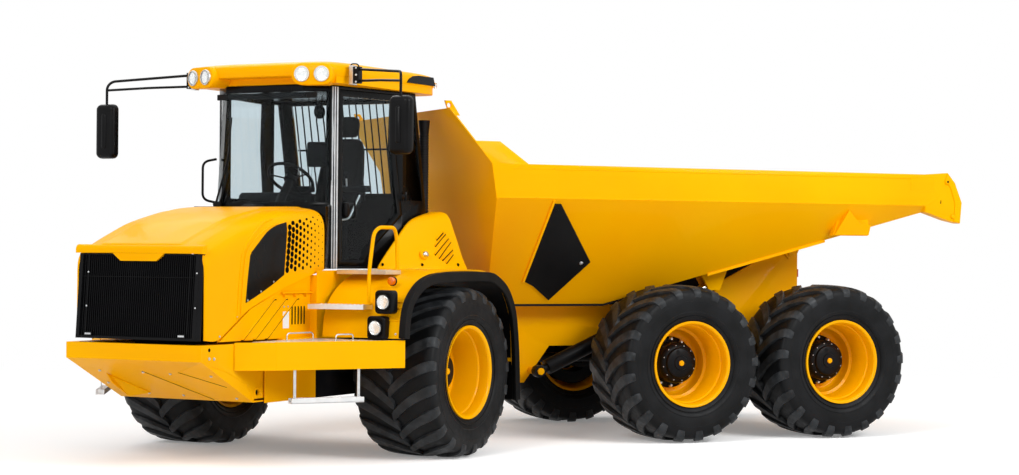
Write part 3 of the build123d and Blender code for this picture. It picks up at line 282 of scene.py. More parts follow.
# Woven polyester cloth of black and grey threads.
seatCloth = makeFinish("seatCloth", ("#08090A", "#0F1012"), (0.75, 0.9), 90, index=1.45, specular=0.2, sheen=0.1)


def addWeave(material, pitch=6, depth=0.8):
    # threads both ways, drawn 6 mm apart because the real 1 mm is too fine to show, and 0.8 mm deep
    tree = material.node_tree
    place = addNode(tree, "TexCoord")
    threads = {"Vector": (place, "Object"), "Scale": perMetre(pitch) / fullTurn}
    warp = addNode(tree, "TexWave", threads, bands_direction="X")
    weft = addNode(tree, "TexWave", threads, bands_direction="Z")
    weave = addNode(tree, "Math", {0: (warp, 1), 1: (weft, 1)}, operation="MAXIMUM")
    bump = addNode(tree, "Bump", {"Height": (weave, 0), "Distance": depth * mm})
    tree.links.new(bump.outputs[0], tree.nodes["Principled BSDF"].inputs["Normal"])


addWeave(seatCloth)
print("materials are made")


def onAxes(axes, a, b, c):
    # a point from three values, axes naming where each goes, such as "yzx"
    point = Vector((0, 0, 0))
    for name, value in zip(axes, (a, b, c)):
        point["xyz".index(name)] = value
    return point


def circle(radius, steps):
    angles = [fullTurn * k / steps for k in range(steps)]
    return [(radius * math.cos(angle), radius * math.sin(angle)) for angle in angles]


def facing(point, along, up=(0, 0, 1)):
    # a place whose z axis runs along a direction
    z = Vector(along).normalized()
    x = Vector(up).cross(z)
    if x.length < 1e-4:
        x = Vector((1, 0, 0)).cross(z)
    x.normalize()
    return Matrix.Translation(Vector(point)) @ Matrix((x, z.cross(x), z)).transposed().to_4x4()


def addFaces(shape, points, faces, finish=0):
    made = [shape.verts.new(p) for p in points]
    for face in faces:
        shape.faces.new([made[k] for k in face]).material_index = finish


def addPrism(shape, outline, low, high, finish=0, axes="xyz"):
    # a closed outline on two axes, drawn out along the third
    count = len(outline)
    points = [onAxes(axes, a, b, level) for level in (low, high) for a, b in outline]
    sides = [(k, (k + 1) % count, count + (k + 1) % count, count + k) for k in range(count)]
    addFaces(shape, points, [tuple(range(count))[::-1], tuple(range(count, 2 * count))] + sides, finish)


def addWall(shape, outline, low, high, finish=0):
    # an outline of y and z, drawn out across the truck
    addPrism(shape, outline, low, high, finish, "yzx")


def addBox(shape, x, y, z, finish=0):
    addPrism(shape, [(x[0], y[0]), (x[1], y[0]), (x[1], y[1]), (x[0], y[1])], z[0], z[1], finish)


def addLoft(shape, sections, finish=0, closed=False):
    # closed sections of the same number of points, joined one to the next
    count, total = len(sections[0]), len(sections)
    faces = [] if closed else [tuple(range(count))[::-1], tuple(range((total - 1) * count, total * count))]
    for row in range(total if closed else total - 1):
        near, far = row * count, ((row + 1) % total) * count
        faces += [(near + k, near + (k + 1) % count, far + (k + 1) % count, far + k) for k in range(count)]
    addFaces(shape, [Vector(p) for section in sections for p in section], faces, finish)


def addTurned(shape, profile, place, steps=48, finish=0, closed=False):
    # a profile of (along, radius) turned about place's own z axis; a zero radius closes an end
    place = facing(*place) if isinstance(place, tuple) else place
    rings = [[place @ Vector((x, y, along)) for x, y in circle(radius, steps)] for along, radius in profile]
    addLoft(shape, rings, finish, closed)


def softPath(points, bend, steps=6):
    # the path with its corners rounded
    points = [Vector(p) for p in points]
    path = [points[0]]
    for before, corner, after in zip(points, points[1:], points[2:]):
        back, ahead = before - corner, after - corner
        reach = min(bend, back.length * 0.49, ahead.length * 0.49)
        start, end = corner + back.normalized() * reach, corner + ahead.normalized() * reach
        for k in range(steps + 1):
            t = k / steps
            path.append(start * (1 - t) ** 2 + corner * 2 * t * (1 - t) + end * t * t)
    return path + [points[-1]]


def addTube(shape, points, radius, bend=60, sides=14, finish=0, flat=1.0):
    # a bent tube; flat squeezes its section
    path = softPath(points, bend)
    last = len(path) - 1
    tangents = [(path[min(k + 1, last)] - path[max(k - 1, 0)]).normalized() for k in range(last + 1)]
    side = tangents[0].cross(Vector((0, 0, 1)))
    if side.length < 1e-3:
        side = tangents[0].cross(Vector((0, 1, 0)))
    side.normalize()
    sections = []
    for point, along in zip(path, tangents):
        side = (side - along * side.dot(along)).normalized()
        up = along.cross(side) * flat
        sections.append([point + side * x + up * y for x, y in circle(radius, sides)])
    addLoft(shape, sections, finish)


def addBolt(shape, point, along, size, finish=0):
    # a hexagon head on a washer
    place = facing(point, along)
    addTurned(shape, [(0, size), (size * 0.18, size)], place, 20, finish)
    addTurned(shape, [(0, size * 0.72), (size * 0.55, size * 0.72), (size * 0.72, size * 0.55)], place, 6, finish)


def roundedOutline(width, height, radius, steps):
    points = []
    for turn, (x, y) in enumerate(((1, 1), (-1, 1), (-1, -1), (1, -1))):
        for k in range(steps + 1):
            angle = math.pi / 2 * (turn + k / steps)
            corner = x * (width / 2 - radius), y * (height / 2 - radius)
            points.append((corner[0] + radius * math.cos(angle), corner[1] + radius * math.sin(angle)))
    return points


def addPad(shape, place, width, height, radius, layers, finish=0, steps=5):
    # stacked rounded outlines of (along, inset), such as a housing or a cushion
    place = facing(*place)
    rings = []
    for along, inset in layers:
        outline = roundedOutline(width - 2 * inset, height - 2 * inset, max(radius - inset, 1), steps)
        rings.append([place @ Vector((x, y, along)) for x, y in outline])
    addLoft(shape, rings, finish)


def curveThrough(points, steps=6, closed=False):
    # a smooth line through points of any number of columns
    points = [Vector(p) for p in points]
    count = len(points)
    path = []
    for k in range(count if closed else count - 1):
        places = [k - 1, k, k + 1, k + 2]
        a, b, c, d = (points[j % count if closed else min(max(j, 0), count - 1)] for j in places)
        for j in range(steps):
            t = j / steps
            bend = (2 * a - 5 * b + 4 * c - d) * t * t + (3 * b - a - 3 * c + d) * t ** 3
            path.append(0.5 * (2 * b + (c - a) * t + bend))
    return path if closed else path + [points[-1]]


def shifted(line, distance):
    # the line moved to its left
    moved = []
    for k, point in enumerate(line):
        ahead = (line[min(k + 1, len(line) - 1)] - line[max(k - 1, 0)]).normalized()
        moved.append(point + Vector((-ahead.y, ahead.x)) * distance)
    return moved


def addSheet(shape, line, low, high, thick, finish=0):
    # a sheet bent along an open line of y and z, thickened to the left of it and drawn out across
    line = [Vector(p) for p in line]
    count, total = len(line), 2 * len(line)
    outline = line + shifted(line, thick)[::-1]
    points = [onAxes("yzx", *p, level) for level in (low, high) for p in outline]
    faces = [(k, k + 1, total + k + 1, total + k) for k in range(total - 1)] + [(total - 1, 0, total, 2 * total - 1)]
    for k in range(count - 1):
        faces += [(k + 1, k, total - 1 - k, total - 2 - k)]
        faces += [(total + k, total + k + 1, 2 * total - 2 - k, 2 * total - 1 - k)]
    addFaces(shape, points, faces, finish)


def addMirror(shape):
    # all that the shape holds, again on the other side of the truck
    made = bmesh.ops.duplicate(shape, geom=shape.verts[:] + shape.edges[:] + shape.faces[:])["geom"]
    bmesh.ops.scale(shape, vec=(-1, 1, 1), verts=[part for part in made if isinstance(part, bmesh.types.BMVert)])


def addParts(shape, form):
    # the parts that a dictionary lists by their kind, each row as its function takes it
    adders = {
        "boxes": addBox, "walls": addWall, "tubes": addTube, "turned": addTurned, "bolts": addBolt,
        "pads": addPad, "lamps": addLamp,
    }
    for kind, adder in adders.items():
        for row in form.get(kind, ()):
            adder(shape, *row)


def shapeFrom(paired, single=None):
    # a shape from the parts that come on both sides and those that come once
    shape = bmesh.new()
    if paired:
        addParts(shape, paired)
        addMirror(shape)
    addParts(shape, single or {})
    return shape


def makePiece(shape, name, body, finishes, slot, replaces=(), edge=0, segments=2, sharp=35, place=frontPlace):
    # turns a shape into a piece on its body, with rounded edges of so many mm
    bmesh.ops.remove_doubles(shape, verts=shape.verts, dist=0.01)
    bmesh.ops.recalc_face_normals(shape, faces=shape.faces)
    mesh = bpy.data.meshes.new(name)
    shape.to_mesh(mesh)
    shape.free()
    mesh.transform(place)
    mesh.shade_smooth()
    mesh.set_sharp_from_angle(angle=math.radians(sharp))
    for finish in finishes if isinstance(finishes, list) else [finishes]:
        mesh.materials.append(finish)
    piece = addObject(name, mesh)
    if edge:
        addRounding(piece, edge, segments, sharp)
    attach(piece, body)
    if replaces:
        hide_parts(*replaces)
    return piece


def makePair(shape, name, *looks, **more):
    # a piece on the left side and its mirror on the right
    right = shape.copy()
    bmesh.ops.scale(right, vec=(-1, 1, 1), verts=right.verts)
    makePiece(right, name + "Right", *looks, **more)
    makePiece(shape, name + "Left", *looks, **more)


def addRounding(piece, edge, segments, sharp):
    rounding = piece.modifiers.new("rounding", "BEVEL")
    rounding.width, rounding.segments, rounding.limit_method = edge * mm, segments, "ANGLE"
    rounding.angle_limit = math.radians(sharp)
    rounding.harden_normals = True
    return rounding


def makeSoftener():
    # joins the plates' seams and shades them smooth, for the solids that stay
    group = bpy.data.node_groups.new("softener", "GeometryNodeTree")
    for way in ("INPUT", "OUTPUT"):
        group.interface.new_socket("Geometry", in_out=way, socket_type="NodeSocketGeometry")
    source = addNode(group, "NodeGroupInput")
    joined = addNode(group, "GeometryNodeMergeByDistance", {"Geometry": (source, 0), "Distance": 0.00002})
    smooth = addNode(group, "GeometryNodeSetShadeSmooth", {"Geometry": (joined, 0)})
    addNode(group, "NodeGroupOutput", {0: (smooth, 0)})
    return group


softener = makeSoftener()


def dressNode(name, finish, edge, sharp=32, flatter=0.6):
    # gives a kept solid its finish and rounded edges
    node = frame["nodes"][name]
    if not node.material_slots:
        node.data.materials.append(finish)
    for held in node.material_slots:
        held.link = "OBJECT"
        held.material = finish
    if edge:
        node.modifiers.new("softener", "NODES").node_group = softener
        flats = node.modifiers.new("flats", "DECIMATE")
        flats.decimate_type, flats.angle_limit = "DISSOLVE", math.radians(flatter)
        addRounding(node, edge, 2, sharp).miter_outer = "MITER_ARC"


def addLamp(shape, place, radius, bezel=0):
    # a ring, a domed lens, a reflector bowl and a bulb
    r = radius
    ring = [(-4, r + 6), (10, r + 6), (14, r + 3), (14, r - 2), (4, r - 3), (-4, r - 3)]
    addTurned(shape, ring, place, 40, bezel, True)
    addTurned(shape, [(2, r - 2), (8, r * 0.8), (12, r * 0.45), (13, 0)], place, 40, 1)
    addTurned(shape, [(1, r - 3), (-14, r * 0.8), (-26, r * 0.45), (-30, r * 0.2), (-31, 0)], place, 40, 2)
    addTurned(shape, [(-28, r * 0.5), (-6, r * 0.5), (-2, r * 0.35), (0, 0)], place, 24, 3)


# Wheels. Across runs outwards from the middle of the tread, and angles run forwards over the top.
wheelForm = {
    "places": {"front": -1500, "mid": 2355, "rear": 4025}, "middle": 748, "track": 1249,
    # across and radius of the carcass, from the bead over the sidewall to the tread, then inside it
    "carcass": [
        (352, 404), (362, 416), (372, 438), (386, 468), (391, 474), (395, 496), (391, 502), (396, 540), (398, 577),
        (397, 618), (394, 650), (388, 678), (374, 698), (352, 710), (300, 714), (150, 716),
    ],
    "lining": [(-340, 412), (340, 412)],
    # lug: across and radius of its top, the same of its root, half its width round the tyre at both
    "lug": [
        (-18, 746, -24, 708, 32, 44),
        (6, 748, 2, 708, 42, 54),
        (70, 748, 70, 708, 44, 54),
        (140, 747, 140, 708, 44, 54),
        (210, 745, 210, 707, 44, 54),
        (275, 741, 272, 705, 45, 55),
        (325, 735, 318, 700, 46, 56),
        (358, 725, 345, 690, 46, 55),
        (383, 708, 364, 672, 44, 53),
        (396, 684, 376, 655, 42, 51),
        (399, 658, 386, 640, 38, 48),
        (399, 636, 392, 630, 32, 42),
    ],
    "lugs": 21,
    "slant": (1.05, 0.28),  # run round the tyre for each mm across, at the middle and at the shoulder
    "shoulder": 400,
    # rings moulded on the sidewall: radius, and across at the slopes and at the crest
    "rings": [(452, 385, 388), (596, 398.5, 399.5)], "ringFoot": 372,
    "rim": [
        (366, 402), (372, 408), (372, 398), (366, 384), (350, 375), (268, 371), (262, 362), (254, 356), (40, 350),
        (24, 344), (12, 318), (-40, 312), (-78, 306), (-92, 296), (-98, 280), (-98, 190),
        (-98, 180), (-112, 182), (-112, 300), (-96, 322), (0, 345), (20, 362), (240, 372), (258, 386), (352, 388),
        (354, 408),
    ],
    # the flange of the far side and its barrel
    "farRim": [
        (-372, 402), (-366, 408), (-354, 408), (-352, 388), (-100, 366), (-20, 350), (-20, 340), (-100, 356),
        (-350, 376), (-366, 386),
    ],
    "valve": [(-20, 320), (20, 322), (52, 330)], "valveAngle": 0.4,
    "hub": [
        (-110, 196), (64, 196), (84, 192), (100, 180), (112, 150), (122, 146), (134, 140), (140, 128), (142, 70),
        (150, 66), (152, 0),
    ],
    "flange": [(-99, 246), (-84, 246), (-80, 240), (-80, 180)],
    "cap": [(140, 26), (160, 26), (165, 20), (166, 0)],
    "drum": [(-114, 296), (-150, 318), (-300, 330), (-306, 322), (-306, 214), (-114, 200)],
    # turned parts in a ring: profile, radius of the ring, how many, first angle, steps and finish
    "seats": ([(-98, 17), (-92, 17)], 258, 12, math.pi / 12, 20, 0),
    "nuts": ([(-84, 19), (-58, 19), (-54, 14), (-38, 12), (-36, 0)], 224, 12, 0.0, 6, 2),
    "planets": ([(110, 44), (134, 44), (140, 38), (142, 0)], 92, 3, 0.3, 28, 0),
    "bolts": (98, 168, 12, 0.2, 10),  # across, radius of the ring, how many, first angle and size
}


def onWheel(across, angle, radius):
    return Vector((across, -radius * math.sin(angle), radius * math.cos(angle)))


def addLug(shape, start, flip):
    middleSlant, shoulderSlant = wheelForm["slant"]
    around = wheelForm["middle"]
    sections, run, last = [], 0.0, wheelForm["lug"][0][0]
    for across, top, rootAcross, root, topHalf, rootHalf in wheelForm["lug"]:
        share = min(max(across / wheelForm["shoulder"], 0), 1)
        run += (across - last) * (middleSlant * (1 - share) + shoulderSlant * share)
        last = across
        # the lug's edge is worn a little below its top
        edge = across * 0.8 + rootAcross * 0.2, top * 0.8 + root * 0.2, topHalf * 0.75 + rootHalf * 0.25 + 2
        left = [(rootAcross, root, -rootHalf), (*edge[:2], -edge[2]), (across, top, -topHalf)]
        right = [(x, radius, -width) for x, radius, width in reversed(left)]
        section = left + [(across, top, 0.0)] + right
        sections.append([onWheel(flip * x, start + (width - run) / around, radius) for x, radius, width in section])
    addLoft(shape, sections, 1)


def addAround(shape, profile, radius, count, start, steps, finish):
    # the same turned part, so many times round the axle
    for k in range(count):
        addTurned(shape, profile, (onWheel(0, start + fullTurn * k / count, radius), (1, 0, 0)), steps, finish)


def makeWheel(row, side):
    form = wheelForm
    out = 1 if side == "left" else -1
    base = frontPlace if row == "front" else rearPlace
    middle = Matrix.Translation((out * form["track"], form["places"][row], form["middle"]))
    place = base @ middle @ Matrix.Diagonal((out, 1, 1, 1))
    body, title = f"wheel_{row}_{side}", row.title() + side.title()
    axle = facing((0, 0, 0), (1, 0, 0))

    shape = bmesh.new()
    carcass = form["carcass"]
    addTurned(shape, carcass + [(-x, r) for x, r in reversed(carcass)] + form["lining"], axle, 108, closed=True)
    pitch = fullTurn / form["lugs"]
    for k in range(form["lugs"]):
        addLug(shape, k * pitch, 1)
        addLug(shape, (k + 0.5) * pitch, -1)
    foot = form["ringFoot"]
    for radius, slope, crest in form["rings"]:
        ring = [(foot, -6), (slope, -4), (crest, 0), (slope, 4), (foot, 6)]
        for face in (-1, 1):
            addTurned(shape, [(face * x, radius + step) for x, step in ring], axle, 108, closed=True)
    makePiece(
        shape, "tyreVisual" + title, body, [tyreRubber, treadPaintedHighlight], "tyre_rubber", [f"tyre_{row}_{side}"],
        sharp=40, place=place,
    )

    shape = bmesh.new()
    addTurned(shape, form["rim"], axle, 96, closed=True)
    addTurned(shape, form["farRim"], axle, 96, closed=True)
    addAround(shape, *form["seats"])
    addTube(shape, [onWheel(across, form["valveAngle"], radius) for across, radius in form["valve"]], 6, 12, 10, 1)
    makePiece(
        shape, "rimVisual" + title, body, [rimEnamel, chassisBlack], "yellow_paint", [f"wheel_{row}_{side}"],
        sharp=40, place=place,
    )

    shape = bmesh.new()
    addTurned(shape, form["hub"], axle, 72)
    addTurned(shape, form["flange"], axle, 72)
    addAround(shape, *form["nuts"])
    addAround(shape, *form["planets"])
    across, radius, count, start, size = form["bolts"]
    for k in range(count):
        addBolt(shape, onWheel(across, start + fullTurn * k / count, radius), (1, 0, 0), size, 2)
    addTurned(shape, form["cap"], axle, 32, 1)
    addTurned(shape, form["drum"], axle, 72, closed=True)
    makePiece(shape, "hubVisual" + title, body, [chassisBlack, rimEnamel, zincSteel], "cast_iron", place=place)


for row in wheelForm["places"]:
    for side in ("left", "right"):
        makeWheel(row, side)
print("wheels are made")

# Bonnet: a pressed shell with a plateau along its top and a lip over the grille.
bonnetForm = {
    # y, half width, height of the top, height of the lower edge
    "stations": [
        (-4040, 645, 1836, 1080), (-3890, 650, 1898, 1080), (-3700, 657, 1968, 1190), (-3500, 665, 2036, 1308),
        (-3250, 678, 2094, 1405), (-3000, 690, 2138, 1487), (-2700, 696, 2160, 1566), (-2418, 700, 2166, 1636),
    ],
    # inwards from the half width, down from the top; the last is the middle
    "section": [
        (0, 210), (4, 150), (14, 108), (32, 74), (60, 46), (98, 26), (150, 12), (215, 4), (240, 1), (258, -6),
        (280, -9),
    ],
    "wall": 14,
    "nose": [(-4049, 18), (-4047, 8), (-4043, 2)],  # y and inset of the rounded front edge
    "lip": [(-612, 1768), (-258, 1768), (-178, 1706), (178, 1706), (258, 1768), (612, 1768)],  # with a deeper tab
    "lipDepth": (-4078, -4046),
    "brow": [(-4030, 1838), (-4058, 1832), (-4072, 1818), (-4078, 1800), (-4078, 1767), (-4036, 1767)],
    "browHalf": (642, 632),
    # beads beside the panel: y and z, and how much of its shift the second bead's height takes
    "bead": [
        (-3640, 1235, 1), (-3618, 1500, 0), (-3585, 1740, 0), (-3535, 1835, -0.2), (-3400, 1945, -0.5),
        (-3260, 2020, -0.7), (-3130, 2056, -0.7),
    ],
    "beadShifts": (0, 46), "beadSize": 9,
    # runs of y and z round the dark panel and round the plate with the vents
    "panel": [
        [(-3530, 1370), (-3522, 1440), (-3500, 1600), (-3475, 1750)],
        [(-3455, 1784), (-3313, 1899), (-3231, 1957), (-3110, 2005), (-2972, 2034)],
        [(-3016, 1596), (-3197, 1507), (-3380, 1428)],
    ],
    "ventPlate": [
        [(-2966, 2036), (-2700, 2088), (-2430, 2112)], [(-2430, 1656), (-2700, 1640), (-3008, 1604)],
    ],
    "cuts": range(1400, 2120, 30),  # heights at which the panels bend with the shell
    "holeRows": 8, "holeColumns": 10, "holeStart": -2976, "holePitch": 58, "holeLean": 44,
    "holeFoot": (1622, 34), "holeTop": (2024, 84),  # height at the first column, and its rise to the last
    "holeSize": (22, 4.5), "holeFade": 1.05,  # how much the radius shrinks by, and what it ends at
    "rivets": [(-3505, 1392), (-3330, 1462), (-3160, 1540), (-3640, 1262), (-3870, 1110)],
}
bonnetStations = curveThrough(bonnetForm["stations"])


def bonnetSkin(y, z):
    # how far the shell's outer face stands from the middle at a place on its side
    after = next((k for k in range(1, len(bonnetStations)) if bonnetStations[k][0] >= y), len(bonnetStations) - 1)
    a, b = bonnetStations[after - 1], bonnetStations[after]
    share = min(max((y - a[0]) / (b[0] - a[0]), 0), 1)
    half, top = a[1] + (b[1] - a[1]) * share, a[2] + (b[2] - a[2]) * share
    drop = top - z
    table = bonnetForm["section"]
    if drop >= table[0][1]:
        return half
    for (nearIn, nearDrop), (farIn, farDrop) in zip(table, table[1:]):
        if nearDrop >= drop >= farDrop:
            return half - nearIn - (farIn - nearIn) * (nearDrop - drop) / max(nearDrop - farDrop, 1e-6)
    return half - table[-1][0]


def bonnetSection(y, half, top, low, inset):
    table = [(0, top - low)] + bonnetForm["section"]
    right = [(half - side - inset, top - drop - (inset if k else 0)) for k, (side, drop) in enumerate(table)]
    return [Vector((x, y, z)) for x, z in right] + [Vector((-x, y, z)) for x, z in reversed(right)]


def makeBonnet():
    form = bonnetForm
    wall = form["wall"]
    _, half, top, low = bonnetStations[0]
    sections = [
        bonnetSection(y, half - inset, top - inset, low, 0) + bonnetSection(y, half, top, low, wall + 8)[::-1]
        for y, inset in form["nose"]
    ]
    for station in bonnetStations[1:]:
        sections.append(bonnetSection(*station, 0) + bonnetSection(*station, wall)[::-1])
    shape = bmesh.new()
    addLoft(shape, sections)
    addPrism(shape, form["lip"], *form["lipDepth"], axes="xzy")
    wide, narrow = form["browHalf"]
    edges = (0, len(form["brow"]) - 1)
    addLoft(shape, [
        [(x * (wide if k in edges else narrow), y, z) for k, (y, z) in enumerate(form["brow"])]
        for x in (-1, -0.99, 0.99, 1)
    ])
    makePiece(shape, "bonnetShell", "hood", yellowEnamel, "yellow_paint", ["hood"], edge=4, sharp=38)

    shape = bmesh.new()
    for shift in form["beadShifts"]:
        line = curveThrough([(y + shift, z + rise * shift) for y, z, rise in form["bead"]], 5)
        addTube(shape, [(bonnetSkin(y, z) + 1, y, z) for y, z in line], form["beadSize"], 5, 8)
    addMirror(shape)
    makePiece(shape, "bonnetBeads", "hood", yellowEnamel, "yellow_paint", sharp=60)

    for title, runs, lift, finish, slot in (
        ("bonnetPanel", form["panel"], 3.0, cabBlack, "black_plastic"),
        ("ventPlate", form["ventPlate"], 2.5, yellowEnamel, "yellow_paint"),
    ):
        shape = bmesh.new()
        addWall(shape, [point for run in runs for point in curveThrough(run, 4)], 0, 1)
        for height in form["cuts"]:
            whole = shape.verts[:] + shape.edges[:] + shape.faces[:]
            bmesh.ops.bisect_plane(shape, geom=whole, plane_co=(0, 0, height), plane_no=(0, 0, 1))
        for vert in shape.verts:
            vert.co.x = bonnetSkin(vert.co.y, vert.co.z) + (lift if vert.co.x > 0.5 else -4)
        makePair(shape, title, "hood", finish, slot, sharp=50)

    # dark discs of painted shade that stand for round holes, shrinking towards the cab
    shape = bmesh.new()
    for k in range(form["holeColumns"]):
        along = k / (form["holeColumns"] - 1)
        size = form["holeSize"][0] * (1 - along) ** form["holeFade"] + form["holeSize"][1]
        for j in range(form["holeRows"]):
            up = (j + 0.3 + 0.5 * (k % 2)) / form["holeRows"]
            foot, top = (start + change * along for start, change in (form["holeFoot"], form["holeTop"]))
            y = form["holeStart"] + form["holePitch"] * k + form["holeLean"] * up * (1 - along)
            z = foot * (1 - up) + top * up
            place = ((bonnetSkin(y, z) + 2.6, y, z), (1, 0, 0))
            addTurned(shape, [(-3, size), (0.8, size), (0.8, 0)], place, 20)
    makePair(shape, "ventHoleShade", "hood", openShade, "black_plastic")
    rivets = [((bonnetSkin(y, z) + 2, y, z), (1, 0, 0), 9) for y, z in form["rivets"]]
    makePair(shapeFrom(None, {"bolts": rivets}), "bonnetRivets", "hood", zincSteel, "cylinder_steel")


# Grille: a frame with fine upright fins over a flat black slab, painted shade that stands for the dark radiator
# behind them.
grilleForm = {
    "half": 560, "top": (-4058, 1764), "foot": (-4112, 1078), "fins": 56,
    "bars": [(-4, 30, 0, 0.03), (0, 14, 0.725, 0.732), (-4, 30, 0.985, 1)],  # depths, and shares of the height
    "screws": [(-500, 0.38), (-500, 0.78), (578, 0.38), (578, 0.78)],  # across, and share of the height
    "latch": 463, "latchLevels": ((1108, 1122), (1098, 1132)),
}


def makeGrille():
    form = grilleForm
    half, (topY, topZ), (footY, footZ) = form["half"], form["top"], form["foot"]

    def at(share, depth):
        return footY + (topY - footY) * share + depth, footZ + (topZ - footZ) * share

    def slab(front, back, low=0.0, high=1.0):
        # a part of the sloping grille between two depths and two shares of its height
        return [at(low, front), at(high, front), at(high, back), at(low, back)]

    shape = bmesh.new()
    addWall(shape, slab(-8, 40), half, half + 34)
    addLoft(shape, [
        [(half + 34, y, z) for y, z in slab(-4, 40)], [(half + 58, y + 26, z) for y, z in slab(-2, 12)],
    ])
    addWall(shape, slab(0, 16), half - 62, half - 50)
    # over-centre latches at the foot
    for reach, front, levels, finish in ((30, 16, form["latchLevels"][0], 3), (36, 10, form["latchLevels"][1], 0)):
        addBox(shape, (form["latch"] - reach, form["latch"] + reach), (footY - front, footY + 10), levels, finish)
    addMirror(shape)
    # the flat black slab behind the fins: painted shade for the depth behind the grille
    addWall(shape, slab(12, 40), -half, half, 1)
    for k in range(form["fins"] + 1):
        x = -half + 2 * half * k / form["fins"]
        addWall(shape, slab(3, 14), x - 3, x + 3, 2)
    for bar in form["bars"]:
        addWall(shape, slab(*bar), -half, half)
    for x, share in form["screws"]:
        addBolt(shape, (x, *at(share, -7)), (0, -1, 0), 8, 3)
    makePiece(
        shape, "grilleVisual", "hood", [blackAbs, openShade, chassisBlack, zincSteel], "black_plastic", ["grille"],
        edge=2, segments=1,
    )


makeBonnet()
makeGrille()
print("bonnet and grille are made")

# Steps beside the bonnet: a raked skirt, a tread-plate deck, three treads and wire guards.
stepForm = {
    # plan of the skirt's ends, and its height from and to
    "front": (930, -3490), "rear": (1570, -2520), "skirt": (830, 1060), "inner": 690,
    "nosePlate": [(676, -3700), (929, -3489), (929, -3478), (676, -3688)],
    "noseFloor": [(676, -3692), (922, -3482), (676, -3482)],
    "floor": (1030, 1046), "deckPlate": (1046, 1056),
    "frame": {
        "boxes": [
            ((680, 690), (-3280, -2520), (548, 1052)),  # inner plate
            ((650, 720), (-3060, -2570), (1030, 1070)),
            ((650, 732), (-2578, -2566), (1046, 1592)),  # bulkhead between the engine plate and the fender
            ((720, 732), (-2570, -1100), (1046, 1630)),
            ((664, 694), (-3030, -2578), (1440, 1452)),  # ledge and its brackets
            ((682, 688), (-2522, -1800), (548, 1040), 1),  # black sheet before the wheel, a painted shade that closes the view into the dark inside
        ],
        "walls": [([(-3880, 1066), (-3450, 1323), (-3060, 1458), (-2570, 1580), (-2570, 1066)], 650, 664)]
        + [([(y, 1441), (y + 8, 1441), (y + 8, 1405)], 664, 690) for y in (-3000, -2840, -2680)],
    },
    "seal": [(0, -34), (0, 60), (8, 60), (8, -34)],  # inwards and up from the bonnet's lower edge
    "sealRun": (-3880, -2590),
    "slotStarts": (-3560, -3390, -3220), "slot": [(-30, 1078), (0, 1078), (440, 1400), (470, 1400)],
    "slotLines": [(0, 665, 6.5, 0), (9, 664.2, 5, 1)],  # down, across, size and finish: a lip with shade under it
    "label": {
        "boxes": [((664.5, 666), (-2990, -2900), (1150, 1290))]
        + [((662, 670), (y, y + 10), (1180, 1330), 1) for y in range(-2860, -2675, 46)],  # vent slots, drawn as dark ribs of painted shade
        "bolts": [((665, y, 1330), (1, 0, 0), 8, 2) for y in (-2975, -2915)],
    },
    "studRows": 23, "studColumns": 20, "studPitch": 40,
    # plan, and height of the foot and the top of the two treads beside the engine
    "treads": [
        ([(760, -2760), (1248, -2670), (1248, -2520), (760, -2520)], 1310, 1350),
        ([(760, -2310), (1248, -2310), (1248, -2060), (760, -2060)], 1600, 1636),
    ],
    "cups": 11, "cup": [(-4, 13), (1.5, 13), (4, 8), (4, 0)],
    # along the skirt: ends of the tread that hangs under it, and its straps
    "hungTread": (155, 800), "hungBars": 13, "straps": (185, 755),
    # wire guards at the deck's inner edge and before the lamps: x, start, end and height
    "guards": [(900, -3190, -2890, 1120), (1190, -2900, -2730, 1108)],
}


